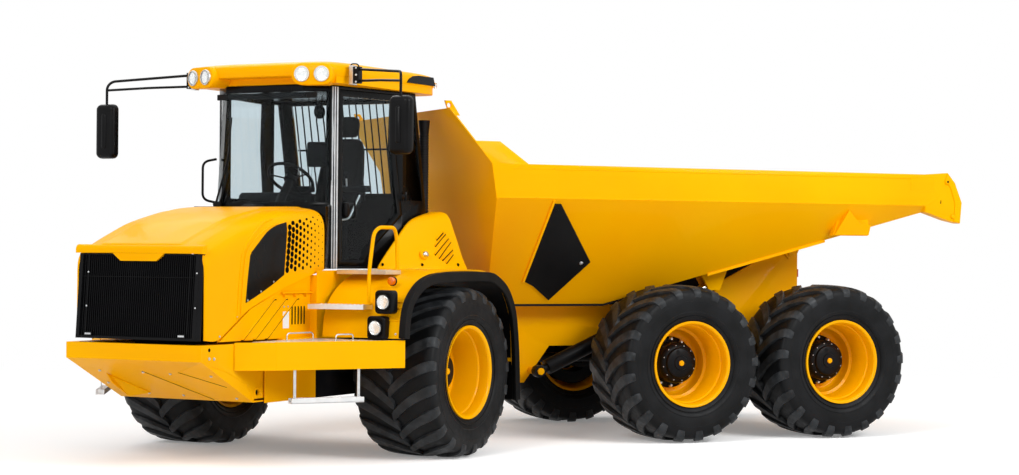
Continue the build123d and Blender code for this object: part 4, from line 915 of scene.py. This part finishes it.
def makeSteps():
    form = stepForm
    front, rear = Vector(form["front"]), Vector(form["rear"])
    run, length = (rear - front).normalized(), (rear - front).length
    inner, floor, deck = form["inner"], form["floor"], form["deckPlate"]

    def beside(distance, inwards):
        # a place along the skirt and inwards from it
        return tuple(front + run * distance + Vector((-run.y, run.x)) * inwards)

    def strip(near, far, outside, inside):
        return [beside(near, outside), beside(far, outside), beside(far, inside), beside(near, inside)]

    shape = shapeFrom(None, form["frame"])
    addPrism(shape, strip(0, length, 0, 10), *form["skirt"])
    addPrism(shape, form["nosePlate"], form["skirt"][0], deck[1])
    addPrism(shape, form["noseFloor"], *floor)
    addPrism(shape, [(inner, front.y), beside(0, 9), beside(length, 9), (inner, rear.y)], *floor)
    makePair(shape, "stepFrame", "front_unit", [yellowEnamel, chassisBlack], "yellow_paint", ["side_steps"], edge=3)

    # seal strip behind the bonnet's lower edge
    shape = bmesh.new()
    start, end = form["sealRun"]
    addLoft(shape, [
        [(half - bonnetForm["wall"] - 8 - back, y, low + rise) for back, rise in form["seal"]]
        for y, half, top, low in bonnetStations if start < y < end
    ])
    makePair(shape, "sealStrip", "front_unit", yellowEnamel, "yellow_paint")

    # pressed slots in the engine plate
    shape = bmesh.new()
    for start in form["slotStarts"]:
        for down, across, size, finish in form["slotLines"]:
            addTube(shape, [(across, start + y, z - down) for y, z in form["slot"]], size, 30, 8, finish)
    makePair(shape, "engineSlots", "front_unit", [yellowEnamel, openShade], "yellow_paint", sharp=60)
    looks = [blankLabel, openShade, zincSteel]
    makePair(shapeFrom(None, form["label"]), "engineLabel", "front_unit", looks, "yellow_paint")

    shape = bmesh.new()
    plate = [(inner + 6, front.y + 14), beside(14, 14), beside(length - 4, 14), (inner + 6, rear.y - 4)]
    addPrism(shape, plate, *deck)
    # studs rolled into the plate
    pitch = form["studPitch"]
    for row in range(form["studRows"]):
        for column in range(form["studColumns"]):
            x, y = inner + 30 + pitch * (column + 0.5 * (row % 2)), front.y + pitch * (row + 1)
            if x < front.x + (y - front.y) * (run.x / run.y) - 34 and y < rear.y - 20:
                addTurned(shape, [(0, 8), (3, 5), (3, 0)], ((x, y, deck[1]), (0, 0, 1)), 6)
    for outline, bottom, top in form["treads"]:
        addPrism(shape, outline, top - 8, top)
        lip = [(1, 0, bottom), (1, 0, top - 6), (0.996, 8, top - 6), (0.996, 8, bottom)]
        rims = [[(x * share, y + back, z) for share, back, z in lip] for x, y in outline]
        for a, b in zip(rims, rims[1:] + rims[:1]):
            addLoft(shape, [a, b])
        middle = sum(y for _, y in outline) / len(outline) + 10
        for k in range(form["cups"]):
            addTurned(shape, form["cup"], ((outline[0][0] + 36 + 41 * k, middle, top), (0, 0, 1)), 10)
    near, far = form["hungTread"]
    addPrism(shape, strip(near, far, 20, 95), 555, 566)
    for edge in (20, 85):
        addPrism(shape, strip(near, far, edge, edge + 10), 556, 600)
    for k in range(form["hungBars"]):
        addPrism(shape, strip(near + 23 + 48 * k, near + 35 + 48 * k, 30, 85), 566, 598)
    makePair(shape, "treads", "front_unit", treadAluminium, "cylinder_steel", edge=1.5, segments=1)

    shape = bmesh.new()
    for distance in form["straps"]:
        addPrism(shape, strip(distance, distance + 24, 60, 68), 575, 900)
        addPrism(shape, strip(distance, distance + 24, 9, 68), 872, 880)
        for height in (620, 850):
            addBolt(shape, (*beside(distance + 12, 59), height), (run.y, -run.x, 0), 8)
    for x, start, end, top in form["guards"]:
        foot = deck[1]
        addTube(shape, [(x - 60, start, foot), (x - 60, start, top), (x, end, top), (x, end, foot)], 6, 34, 10)
    makePair(shape, "stepStraps", "front_unit", zincSteel, "cylinder_steel", edge=1, segments=1, sharp=50)


makeSteps()
print("steps are made")

# Front fenders: a smooth dome beside the cab running down into the arch over the wheel.
fenderForm = {
    # y, height at the cab, width of the flat top, width at the foot
    "crest": [
        (-780, 2160, 190, 405), (-1120, 2080, 60, 360), (-1350, 1922, 34, 238), (-1590, 1734, 20, 96),
        (-1672, 1656, 10, 20),
    ],
    "dome": [(0, 0), (0.36, 0.42), (0.78, 0.8), (1, 1)],  # shares of the fall and of the width
    "inner": 780, "outer": 1540, "top": 1646, "base": 1560,
    # y and height of both ends
    "louvres": [
        ((-1034, 1910), (-917, 1977)), ((-1087, 1852), (-896, 1966)), ((-1139, 1776), (-884, 1925)),
        ((-1114, 1746), (-870, 1894)), ((-1087, 1727), (-887, 1823)), ((-1055, 1700), (-907, 1780)),
    ],
    "louvreLines": [(0, 3, 8, 0), (-12, 1, 5.5, 1)],  # up, out, size and finish: a lip with shade under it
    "arch": [
        (-2560, 1072), (-2556, 1150), (-2536, 1250), (-2500, 1330), (-2430, 1412), (-2300, 1508), (-2120, 1588),
        (-1920, 1628), (-1700, 1640), (-1300, 1640), (-1080, 1624), (-900, 1560), (-780, 1472), (-680, 1350),
        (-600, 1200), (-572, 1000), (-560, 800),
    ],
    "flare": [
        (-2580, 1076), (-2570, 1180), (-2535, 1320), (-2460, 1432), (-2310, 1540), (-2130, 1598), (-1920, 1618),
        (-1500, 1622), (-1090, 1616), (-930, 1578), (-760, 1490), (-650, 1370), (-572, 1210), (-520, 900),
        (-492, 450),
    ],
    "flareSheets": [(1538, 1590, -46), (1584, 1600, -84)],  # across from and to, and thickness
    "mudFlap": [(-590, 1120), (-572, 940), (-556, 780), (-512, 450)], "mudFlapRun": (1240, 1539),
    "cap": (-1250, 1760), "domeBolts": (-1640, -1310, -900),  # filler cap's y and height, and y of the bolts
    "ribs": [(-2510, 1326), (-2472, 1374), (-2549, 1224)], "archBolts": [(1500, 1110), (1250, 1110)],
}


def makeFenders():
    form = fenderForm
    inner, top, base = form["inner"], form["top"], form["base"]
    crest = curveThrough(form["crest"])

    def dome(y, z):
        # how far out the dome's face stands at a height
        after = next(k for k in range(1, len(crest)) if crest[k][0] <= y)
        a, b = crest[after - 1], crest[after]
        share = (y - a[0]) / (b[0] - a[0])
        height, flat, foot = (a[k] + (b[k] - a[k]) * share for k in (1, 2, 3))
        drop = min(max((height - flat / 9 - z) / max(height - flat / 9 - top, 1), 0), 1)
        for (lowDrop, lowRun), (highDrop, highRun) in zip(form["dome"], form["dome"][1:]):
            if lowDrop <= drop <= highDrop:
                part = lowRun + (highRun - lowRun) * (drop - lowDrop) / (highDrop - lowDrop)
                return inner + flat + (foot - flat) * part

    shape = bmesh.new()
    sections = []
    for y, height, flat, foot in crest:
        brow = height - flat / 9
        bulge = [(inner + flat * 0.1, height)]
        for fall, out in form["dome"][:3]:
            bulge.append((inner + flat + (foot - flat) * out, brow - (height - top) * fall))
        end = inner + foot + 4
        bulge = curveThrough(bulge + [(end, top)], 5)
        sections.append([(x, y, z) for x, z in [(inner, height - 6), *bulge, (end, base), (inner, base)]])
    addLoft(shape, sections)
    arch = curveThrough(form["arch"], 4)
    addSheet(shape, arch, inner, form["outer"], -14)
    makePair(shape, "fenderShell", "front_unit", yellowEnamel, "yellow_paint", ["front_fenders"], edge=5, sharp=42)

    shape = bmesh.new()
    for near, far, thick in form["flareSheets"]:
        addSheet(shape, curveThrough(form["flare"], 4), near, far, thick)
    makePair(shape, "flareVisual", "front_unit", flareRubber, "black_rubber", ["fender_flares"], edge=5, segments=3)

    # black liner inside the arch, and the mud flap below it
    shape = bmesh.new()
    addSheet(shape, shifted(arch, -16)[1:-1], inner + 8, form["outer"] + 1, -4)
    addSheet(shape, form["mudFlap"], *form["mudFlapRun"], -8)
    makePair(shape, "archLiner", "front_unit", blackAbs, "black_plastic")

    # louvres and bolts in the dome, a filler cap, and ribs rolled across the front of the arch
    shape = bmesh.new()
    for start, end in form["louvres"]:
        line = [Vector(start).lerp(Vector(end), k / 4) for k in range(5)]
        for up, out, size, finish in form["louvreLines"]:
            addTube(shape, [(dome(y, z + up) + out, y, z + up) for y, z in line], size, 5, 8, finish)
    for y in form["domeBolts"]:
        addBolt(shape, (dome(y, 1676) + 2, y, 1678), (1, 0, 0.2), 16, 1)
    y, z = form["cap"]
    place = ((dome(y, z) - 4, y, z), (1, -0.1, 0.4))
    addTurned(shape, [(0, 44), (12, 44), (20, 36), (22, 0)], place, 28)
    addTurned(shape, [(14, 28), (44, 26), (50, 20), (52, 0)], place, 24, 2)
    for y, z in form["ribs"]:
        addTube(shape, [(1385, y, z), (1536, y, z)], 6, 5, 8)
    for x, z in form["archBolts"]:
        addBolt(shape, (x, -2562, z), (0, -1, 0), 9, 2)
    makePair(shape, "fenderDetail", "front_unit", [yellowEnamel, openShade, zincSteel], "yellow_paint", sharp=50)


makeFenders()
print("fenders are made")

# Cab: silver strips, roof, lamps, mirrors and the bars behind the rear window.
cabForm = {
    "turn": (740, -1200), "pillar": (585, -2160),  # where the side wall starts to lean inwards, and its end
    "strips": [(880, 900, 12), (918, 934, 16), (944, 956, 10)],  # forward from and to, and how far proud
    "stripLevels": (1640, 3226),
    "cornerBead": (960, 4, 2190, 3200),  # forward, proud, foot and top
    # half of the roof's outline, from its back to its front
    "roofPlan": [
        (0, -596), (600, -604), (790, -720), (802, -1200), (800, -1900), (780, -2180), (700, -2392), (420, -2456),
        (0, -2470),
    ],
    "roofMiddle": -1530,
    # height, share of the plan, for the roof's stacked outlines
    "roofLayers": [
        (3296, 0.955), (3300, 0.985), (3330, 1.0), (3372, 1.0), (3392, 0.99), (3406, 0.965), (3418, 0.92),
        (3430, 0.84), (3439, 0.7), (3444, 0.4),
    ],
    "skirt": (-2330, 0.985, 3238, 3302),  # front end, share of the plan, foot and top
    # housing of the two lamps at each corner
    "pod": (
        ((581, -2448, 3310), (0.285, -0.96, 0)), 372, 190, 92,
        [(-190, 8), (-60, 2), (0, 0), (8, 3), (14, 12)], 0, 8,
    ),
    "visorHalf": 700, "visorStep": 50,
    # bare black panel at the side of the roof, with a small lamp behind it
    "roofPanel": {
        "walls": [(
            [(-1230, 3318), (-1200, 3352), (-1130, 3382), (-1040, 3394), (-760, 3396), (-730, 3318)], 796, 812,
        )],
        "turned": [([(-4, 30), (14, 28), (18, 20), (20, 0)], ((770, -668, 3330), (0.7, 0.7, 0)), 24, 1)],
    },
}
lampForm = {
    "units": {
        "lamps": [(((x, y, 3310), (0.285, -0.96, 0)), 62, 4) for x, y in ((502, -2487), (670, -2437))]
        + [(((x, -2634, z), (0.03, -1, 0)), 62) for x, z in ((1420, 1376), (1345, 1160))],
    },
    "turnLamps": {
        "turned": [
            ([(0, 34), (26, 34), (36, 28), (40, 0)], ((1345, -2362, 1545), (0, -1, 0.1)), 28),
            ([(-8, 40), (4, 40), (6, 34)], ((1345, -2356, 1545), (0, -1, 0.1)), 28, 1),
        ],
    },
    "housings": {
        "pads": [
            (((x, -2572, z), (0, -1, 0)), 176, 196, 34, [(-26, 0), (42, 0), (50, 3), (56, 10), (57, 20), (50, 24)])
            for x, z in ((1420, 1376), (1345, 1160))
        ],
    },
}
mirrorPlace = ((1530, -2560, 2850), (0, -1, 0))
mirrorForm = {
    "boxes": [((812, 850), (-2224, -2156), (3226, 3394), 1), ((846, 906), (-2220, -2160), (3238, 3382))],
    "bolts": [((880, -2222, z), (0, -1, 0), 9, 1) for z in (3250, 3310, 3370)],
    "tubes": [
        ([(790, -2190, 3370), (812, -2190, 3410), (880, -2190, 3406), (902, -2190, 3360)], 6, 24, 8),
        ([(892, -2190, 3360), (1504, -2520, 3298), (1530, -2560, 3250), (1530, -2560, 3080)], 12),
        ([(892, -2190, 3260), (1200, -2370, 3244), (1528, -2556, 3218)], 11),
    ],
    # the housing, the rib on its back and the glass
    "pads": [
        (mirrorPlace, 210, 490, 52, [(-42, 8), (-38, 2), (-20, 0), (10, 3), (28, 12), (38, 26), (42, 46)], 0, 8),
        (mirrorPlace, 60, 320, 28, [(30, 0), (46, 4), (52, 14)], 0, 6),
        (mirrorPlace, 186, 462, 42, [(-46, 2), (-43, 0)], 2, 8),
    ],
}
guardForm = {
    # upright bars outside the rear window, and three across
    "bars": range(-592, 593, 74), "half": 606, "foot": 2300, "top": 3185, "levels": (2296, 2740, 3186),
    "lean": 0.199, "start": (-734, 2180),  # y at a height
}
wiperForm = {
    "tubes": [
        ([(-420, -2440, 2196), (-330, -2398, 2560), (-310, -2384, 2700)], 9, 60, 10),
        ([(-380, -2440, 2196), (-300, -2402, 2500)], 7, 60, 10),
        ([(-352, -2392, 2360), (-306, -2366, 2960)], 11, 60, 8, 0, 0.5),  # blade
        ([(-520, -2290, 2215), (-606, -2376, 2240), (-606, -2376, 2575), (-520, -2290, 2600)], 11, 60, 12),  # handle
    ],
    "turned": [([(0, 24), (18, 22), (22, 0)], ((x, -2432, 2196), (0, -1, 0)), 20) for x in (-420, -380)],
}


def onCabSide(along, z, out):
    # a place on the leaning side wall: millimetres forward of where it turns, height, and how far proud
    turn, pillar = Vector(cabForm["turn"]), Vector(cabForm["pillar"])
    run = (pillar - turn).normalized()
    point = turn + run * along + Vector((-run.y, run.x)) * out
    return Vector((point.x, point.y, z))


def makeCab():
    form = cabForm
    shape = bmesh.new()
    for near, far, out in form["strips"]:
        corners = [onCabSide(along, 0, proud) for along, proud in ((near, -2), (far, -2), (far, out), (near, out))]
        addPrism(shape, [corner[:2] for corner in corners], *form["stripLevels"])
    along, out, foot, top = form["cornerBead"]
    addTube(shape, [onCabSide(along, foot, out), onCabSide(along, top, out) + Vector((0, 40, 0))], 5, 5, 8)
    addMirror(shape)
    makePiece(shape, "cabStrips", "front_unit", zincSteel, "cylinder_steel", edge=2)

    # roof, its skirt, the pods for the lamps and the visor
    half = form["roofPlan"]
    plan = curveThrough(half + [(-x, y) for x, y in half[-2:0:-1]], 5, closed=True)
    middle = form["roofMiddle"]
    shape = shapeFrom({"pads": [form["pod"]]})
    addLoft(shape, [
        [(p.x * (0.1 + share * 0.9), middle + (p.y - middle) * share, z) for p in plan]
        for z, share in form["roofLayers"]
    ])
    end, share, foot, top = form["skirt"]
    addPrism(shape, [(p.x * share, middle + (p.y - middle) * share) for p in plan if p.y > end], foot, top)
    brow = []
    for x in range(-form["visorHalf"], form["visorHalf"] + 1, form["visorStep"]):
        y = -2470 + 78 * (abs(x) / 700) ** 3
        drop = 3322 - 26 * max(0, (abs(x) - 300) / 400)
        profile = [(60, 3396), (6, 3392), (-2, 3372), (4, drop), (70, drop + 4)]
        brow.append([(x, y + back, z) for back, z in profile])
    addLoft(shape, brow)
    makePiece(shape, "roofShell", "front_unit", yellowEnamel, "yellow_paint", ["cab_roof"], edge=4, sharp=44)
    looks = [cabBlack, clearLens]
    makePiece(shapeFrom(form["roofPanel"]), "roofPanels", "front_unit", looks, "black_plastic", edge=2)

    looks = [blackAbs, clearLens, lampBowlPaintedGlow, lampBulb, zincSteel]
    makePiece(shapeFrom(lampForm["units"]), "lampUnits", "front_unit", looks, "lamp_lens", ["lamps"], sharp=40)
    makePiece(shapeFrom(lampForm["turnLamps"]), "turnLamps", "front_unit", [amberLens, blackAbs], "lamp_lens")
    makePiece(
        shapeFrom(lampForm["housings"]), "lampHousings", "front_unit", blackAbs, "black_plastic", ["headlamp_pods"],
        sharp=50,
    )
    makePiece(
        shapeFrom(mirrorForm), "mirrorArms", "front_unit", [blackAbs, zincSteel, mirrorGlass], "black_plastic",
        ["mirrors"], edge=1.5, segments=1, sharp=42,
    )

    form = guardForm
    shape = bmesh.new()

    def atBack(z):
        return form["start"][0] - form["lean"] * (z - form["start"][1])

    for x in form["bars"]:
        addTube(shape, [(x, atBack(z), z) for z in (form["foot"], form["top"])], 7, 5, 8)
    for z in form["levels"]:
        addTube(shape, [(-form["half"], atBack(z), z), (form["half"], atBack(z), z)], 9, 5, 8)
    makePiece(shape, "rearGuard", "front_unit", chassisBlack, "black_steel", sharp=60)
    makePiece(shapeFrom(None, wiperForm), "wiper", "front_unit", blackAbs, "black_plastic", sharp=50)

    # door furniture: latch, grip and the stay inside
    grip = [onCabSide(700, z, out) for z, out in ((2230, 26), (2230, 52), (2090, 52), (2090, 26))]
    stay = [onCabSide(800, 2060, -60), onCabSide(640, 2080, -70), onCabSide(500, 2290, -70)]
    latch = (onCabSide(758, 2155, -4), (0.9872, -0.1594, 0))
    shape = shapeFrom(None, {
        "pads": [(latch, 62, 128, 24, [(0, 0), (18, 2), (24, 10)])],
        "tubes": [(grip, 8, 20, 10), (stay, 9, 40, 10, 1)],
    })
    makePiece(shape, "doorFurniture", "door", [blackAbs, zincSteel], "black_plastic", sharp=50)


# Inside: seat, console, dash and steering wheel.
seatForm = {
    # side bolsters of the cushion and the back
    "bolsters": {
        "tubes": [
            ([(205, -1540, 2190), (212, -1320, 2206), (206, -1130, 2196)], 42, 60, 14, 0, 0.8),
            ([(205, -1120, 2240), (200, -1050, 2500), (160, -1000, 2760)], 40, 90, 14),
        ],
    },
    "cushion": {
        "pads": [(
            ((0, -1320, 2080), (0, 0, 1)), 460, 480, 90,
            [(0, 24), (16, 6), (60, 0), (100, 6), (124, 24), (134, 60)], 0, 7,
        )],
    },
    # y, height, lean, thickness and rounding, then the height and half width of each level
    "back": (-1085, 2200, 0.17, 104, 46, [(0, 190), (40, 222), (300, 226), (520, 206), (600, 176), (630, 130)]),
    "head": (-968, 2850, 0.15, 84, 38, [(0, 96), (24, 124), (120, 128), (170, 112), (188, 78)]),
}
baseForm = {
    # headrest stems, armrests and levers
    "paired": {
        "tubes": [
            ([(60, -962, 2800), (60, -952, 2880)], 8, 5, 8, 1),
            ([(300, -1150, 2330), (260, -1080, 2260)], 22, 5, 10),
            ([(300, -1430, 2380), (304, -1450, 2470)], 9, 5, 8, 1),
        ],
        "pads": [(((300, -1300, 2330), (0, 0, 1)), 80, 330, 34, [(0, 8), (10, 0), (46, 0), (58, 10)])],
        "turned": [([(0, 14), (20, 22), (46, 22), (58, 10), (60, 0)], ((304, -1450, 2450), (0, -0.2, 1)), 16)],
    },
    # pedestal, side console and screen
    "single": {
        "boxes": [((-150, 150), (-1470, -1170), (1690, 2078)), ((-200, 200), (-1500, -1140), (2050, 2084))],
        "pads": [
            (((-420, -1500, 1700), (0, 0, 1)), 190, 760, 60, [(0, 0), (560, 0), (600, 8), (624, 30)]),
            (((380, -2060, 2640), (-0.35, 0.9, 0)), 170, 220, 20, [(0, 4), (6, 0), (30, 0), (36, 5)], 0, 4),
        ],
        "tubes": [([(500, -2080, 2560), (400, -2066, 2600)], 12, 5, 8)],
    },
}
steering = facing((0, -1895, 2425), (0, 220, 270))
dashForm = {
    "pads": [(
        ((0, -2165, 1692), (0, 0, 1)), 820, 210, 60, [(0, 0), (400, 0), (470, 10), (496, 30), (504, 56)], 0, 6,
    )],
    "boxes": [((-520, 520), (-2290, -2268), (3120, 3170))],  # sun blind
    # wheel's boss and a fan
    "turned": [
        ([(-14, 58), (14, 60), (26, 48), (30, 0)], steering, 32),
        ([(0, 60), (20, 60), (26, 52), (26, 30), (10, 22), (10, 0)], ((430, -2080, 3010), (-0.2, -1, -0.1)), 28),
    ],
    "tubes": [([(0, -2140, 2130), (0, -1905, 2410)], 38, 5, 18)],  # column
    "spokes": (0.3, 2.84, 4.71), "spokeEnds": ((30, 8), (205, 12)),  # angles; radius and height of both ends
    "rim": (208, 15, 12),  # radius, half its thickness, and height over the boss
}


def makeInside():
    shape = shapeFrom(seatForm["bolsters"], seatForm["cushion"])
    for y, foot, lean, thick, corner, levels in (seatForm["back"], seatForm["head"]):
        addLoft(shape, [
            [(x, y + lean * up + out, foot + up) for x, out in roundedOutline(2 * half, thick, corner, 6)]
            for up, half in levels
        ])
    seat = makePiece(shape, "seatCushions", "front_unit", seatCloth, "seat_cover", ["seat"], sharp=55)
    shape = shapeFrom(baseForm["paired"], baseForm["single"])
    makePiece(shape, "seatBase", "front_unit", [cabTrim, zincSteel], "black_plastic", edge=4)

    shape = shapeFrom(None, dashForm)
    for turn in dashForm["spokes"]:
        spoke = [(radius * math.cos(turn), radius * math.sin(turn), up) for radius, up in dashForm["spokeEnds"]]
        addTube(shape, [steering @ Vector(p) for p in spoke], 14, 5, 10, 0, 0.5)
    radius, thick, level = dashForm["rim"]
    section = circle(thick, 12)
    addLoft(shape, [
        [steering @ Vector((x * (1 + out / radius), y * (1 + out / radius), level + up)) for out, up in section]
        for x, y in circle(radius, 48)
    ], closed=True)
    makePiece(shape, "dashAndWheel", "front_unit", cabTrim, "black_plastic", ["steering_console"], edge=3)


makeCab()
makeInside()
print("cab is made")

# Fittings: bolts and a towing ear on the belly guard, the exhaust and the grab rails.
bellyForm = {
    "start": (-4135, 915), "fall": (715, -355),  # the guard slopes from the bumper's foot to the break
    # across and share of the slope
    "bolts": [(-500, 0.3), (-60, 0.3), (200, 0.32), (590, 0.34), (-300, 0.86), (40, 0.88), (560, 0.9), (-590, 0.62)],
    "seams": [((-60, 0.28), (300, 0.97)), ((300, 0.28), (600, 0.62))],
    "cheek": {
        "bolts": [((671, y, z), (1, 0, 0), 13) for y, z in ((-4034, 940), (-3968, 936), (-3200, 880), (-3200, 700))],
        "turned": [
            # a dark disc of painted shade, standing for a hole in the cheek
            ([(-2, 15), (1, 15), (1, 0)], ((670, -4032, 1008), (1, 0, 0)), 24, 1),
            ([(-2, 44), (3, 44), (5, 40), (5, 27), (-2, 27)], ((670, -3367, 640), (1, 0, 0)), 32, 2, True),
        ],
        "walls": [(
            [(-4128, 914), (-3817, 833), (-3519, 720), (-3423, 593), (-3396, 590), (-3420, 562)], 655, 667, 2,
        )],
    },
    "tow": [(0.36, 4), (0.48, 44), (0.78, 58), (0.86, 4)],  # share of the slope, and drop from it
    "towAcross": (-470, -456), "towWeb": -280,
}
stackForm = {
    "foot": (668, -680, 1641),
    # silencer and stack: start, pitch, how many ribs, and their (along, radius)
    "ribs": [
        ([(0, 66), (4, 74)], 14, 35, 14, [(0, 74), (6, 78), (24, 78), (30, 74)]),
        ([(506, 74), (512, 64), (514, 44)], 520, 24, 30, [(0, 40), (6, 46), (14, 46), (20, 40)]),
    ],
    "mouth": [(1248, 42), (1300, 48), (1368, 54), (1368, 46), (1300, 40), (1300, 0)],
}
railForm = {
    "path": [(-2545, 1351), (-2540, 1640), (-2470, 1950), (-2385, 2000), (-2130, 2000), (-2090, 1900), (-2080, 1637)],
    "across": 1225, "size": 16, "bend": 90, "foot": [(0, 34), (8, 34), (10, 18)],
}


def makeFittings():
    form = bellyForm
    (startY, startZ), (runY, runZ) = form["start"], form["fall"]
    down = Vector((0, runZ, -runY)).normalized()

    def onBelly(x, share, drop=0):
        return Vector((x, startY + share * runY, startZ + share * runZ)) + down * drop

    shape = shapeFrom(form["cheek"])
    for x, share in form["bolts"]:
        addBolt(shape, onBelly(x, share, 1), down, 13)
    near, far = form["towAcross"]
    addWall(shape, [onBelly(0, share, drop).yz for share, drop in form["tow"]], near, far, 2)
    # a dark disc of painted shade on the tow plate, standing for its eye
    addTurned(shape, [(-1, 20), (1, 20), (1, 0)], (onBelly(near - 0.5, 0.64, 32), (-1, 0, 0)), 24, 1)
    web = [onBelly(far, 0.42), onBelly(far, 0.8, 54), onBelly(form["towWeb"], 0.84)]
    addLoft(shape, [web, [p + down * 6 for p in web]], 2)
    for a, b in form["seams"]:
        addTube(shape, [onBelly(*a), onBelly(*b)], 3, 5, 6, 1)
    makePiece(shape, "guardBolts", "front_unit", [zincSteel, openShade, yellowEnamel], "cylinder_steel")

    # a lagged silencer and a stack
    profile = []
    for before, start, pitch, count, rib in stackForm["ribs"]:
        profile += before + [(start + pitch * k + along, radius) for k in range(count) for along, radius in rib]
    shape = bmesh.new()
    addTurned(shape, profile + stackForm["mouth"], (stackForm["foot"], (0, 0, 1)), 32)
    makePiece(shape, "stackVisual", "front_unit", castIron, "black_steel", ["exhaust"], sharp=50)

    form = railForm
    path = [(form["across"], y, z) for y, z in form["path"]]
    feet = [(form["foot"], (end, (0, 0, 1)), 20) for end in (path[0], path[-1])]
    shape = shapeFrom({"tubes": [(path, form["size"], form["bend"], 18)], "turned": feet})
    makePiece(shape, "railTubes", "front_unit", yellowEnamel, "yellow_paint", ["grab_rails"], sharp=50)


makeFittings()
print("fittings are made")

# Dump body's trim: beads on the rails, edge strips, brackets, tail plates and the bolts of the rubber flaps.
trimForm = {
    "rail": 1420, "railLow": 2290, "slope": (680, 990),  # the sloping side's run inwards and down
    "foot": 740, "floor": 1300, "ramp": (1850, 5300), "rampRise": 970, "rampSpread": 620,
    "fixed": {
        "tubes": [
            ([(1419, 560, 2568), (1419, 5130, 2568)], 6, 5, 8), ([(1419, 415, 2298), (1419, 5140, 2298)], 7, 5, 8),
        ],
        "walls": [
            ([(4960, 2440), (5240, 2440), (5240, 2580), (4960, 2580)], 1419, 1423),  # pad
            ([
                (5402, 2618), (5496, 2526), (5578, 2330), (5560, 2126), (5486, 2140), (5500, 2326), (5440, 2486),
                (5376, 2560),
            ], 1419, 1429),  # tail lip
            ([(5318, 2318), (5334, 2318), (5334, 2350), (5326, 2356)], 1419, 1421, 1),  # slot, a dark plate of painted shade
        ],
        "turned": [
            ([(0, size), (16, size), (20, size - 5), (20, 0)], ((1419, y, z), (1, 0, 0)), 24)
            for y, z, size in ((5400, 2540, 26), (5470, 2190, 22))
        # a dark disc of painted shade in the boss, standing for its hole
        ] + [([(0, 12), (22, 12), (22, 0)], ((1419, 5400, 2540), (1, 0, 0)), 20, 1)],
    },
    "edgeStrip": (2900, 4118), "edgeSection": [(4, -4), (-12, -8), (-12, 22), (4, 22)],  # inwards and down
    "flange": [(1000, 8), (930, 775)], "flangeSection": [(-26, -2), (-4, -2), (-4, 18), (-26, 18)],
    "gusset": [(4128, 1990), (4250, 2236), (4400, 2106), (4534, 2090), (4528, 1990)],
    "gussetAcross": (1270, 1322, 0.3),  # from, to at its foot, and its lean
    "slopeBolts": [(1463, 586, 19, 2), (1040, 90, 13, 3)],  # y, how far below the rail, size and finish
    "rest": (862, 1850, 2150), "restSection": [(3, 1), (3, 22), (30, 22), (30, 1)],
    "web": [(2000, 1200), (2000, 1290), (2200, 1364), (3900, 1842), (3980, 1720), (3960, 1200)], "webHalf": 7,
}


def makeTrim():
    form = trimForm
    spread, fall = form["slope"]
    tilt = math.atan2(spread, fall)
    normal = Vector((math.cos(tilt), 0, -math.sin(tilt)))

    def onSlope(y, drop, out):
        # a place on the sloping side, so far below the rail and so far proud
        return Vector((form["rail"] - drop * spread / fall, y, form["railLow"] - drop)) + normal * out

    def onEdge(y, inwards, drop):
        # a place by the lower edge of the side
        share = max(y - form["ramp"][0], 0) / (form["ramp"][1] - form["ramp"][0])
        x, z = form["foot"] + form["rampSpread"] * share, form["floor"] + form["rampRise"] * share
        return x - inwards, y, z - drop

    shape = bmesh.new()
    addParts(shape, form["fixed"])
    addLoft(shape, [[onEdge(y, *corner) for corner in form["edgeSection"]] for y in form["edgeStrip"]])
    # flange before the rubber flap
    addLoft(shape, [
        [onSlope(y + back, drop, out) for back, out in form["flangeSection"]] for y, drop in form["flange"]
    ])
    # gusset over the tail bracket
    near, far, lean = form["gussetAcross"]
    foot = form["gusset"][0][1]
    addLoft(shape, [
        [(near, y, z) for y, z in form["gusset"]], [(far + (z - foot) * lean, y, z) for y, z in form["gusset"]],
    ])
    for y, drop, size, finish in form["slopeBolts"]:
        addBolt(shape, onSlope(y, drop, 15), normal, size, finish)
    addMirror(shape)
    looks = [yellowEnamel, openShade, zincSteel, blackAbs]
    makePiece(shape, "bodyTrim", "dump_body", looks, "yellow_paint", edge=1.5, segments=1, sharp=40, place=rearPlace)

    # rubber rest strips under the floor's edges, whose black also stands as painted shade for the dark gap between
    # the body and the frame
    shape = bmesh.new()
    addLoft(shape, [[onEdge(y, *corner) for corner in form["restSection"]] for y in form["rest"]])
    addMirror(shape)
    makePiece(shape, "restStripsAndShadeLine", "dump_body", flareRubber, "black_rubber", place=rearPlace)

    # a black web between the frame's sides, painted shade that closes the view under the ramp
    shape = bmesh.new()
    addWall(shape, form["web"], -form["webHalf"], form["webHalf"])
    makePiece(shape, "frameWebShade", "rear_unit", chassisBlack, "black_steel", edge=3, place=rearPlace)


makeTrim()
print("body trim is made")

keptNodes = {
    # node: finish and rounding in mm
    "rear_frame": (yellowEnamel, 6), "dump_body": (yellowEnamel, 6), "body_flaps": (flareRubber, 3),
    "rear_axles": (chassisBlack, 5), "bogie_beams": (chassisBlack, 8), "tail_lamps": (redLens, 3),
    "hitch_link": (chassisBlack, 6), "front_frame": (yellowEnamel, 6), "bumper": (yellowEnamel, 5),
    "engine_block": (castIron, 8), "front_axle": (chassisBlack, 6), "cab_shell": (cabBlack, 6),
    "cab_glass": (cabGlass, 0), "door_left": (cabBlack, 5), "door_glass": (cabGlass, 0),
}
cylinderParts = {"barrel": (chassisBlack, 4), "rod": (hardChrome, 2)}
for kind in ("tip", "steer"):
    for side in ("left", "right"):
        keptNodes.update({f"{kind}_{part}_{side}": looks for part, looks in cylinderParts.items()})
for name, (finish, edge) in keptNodes.items():
    dressNode(name, finish, edge)
print("kept solids are dressed")
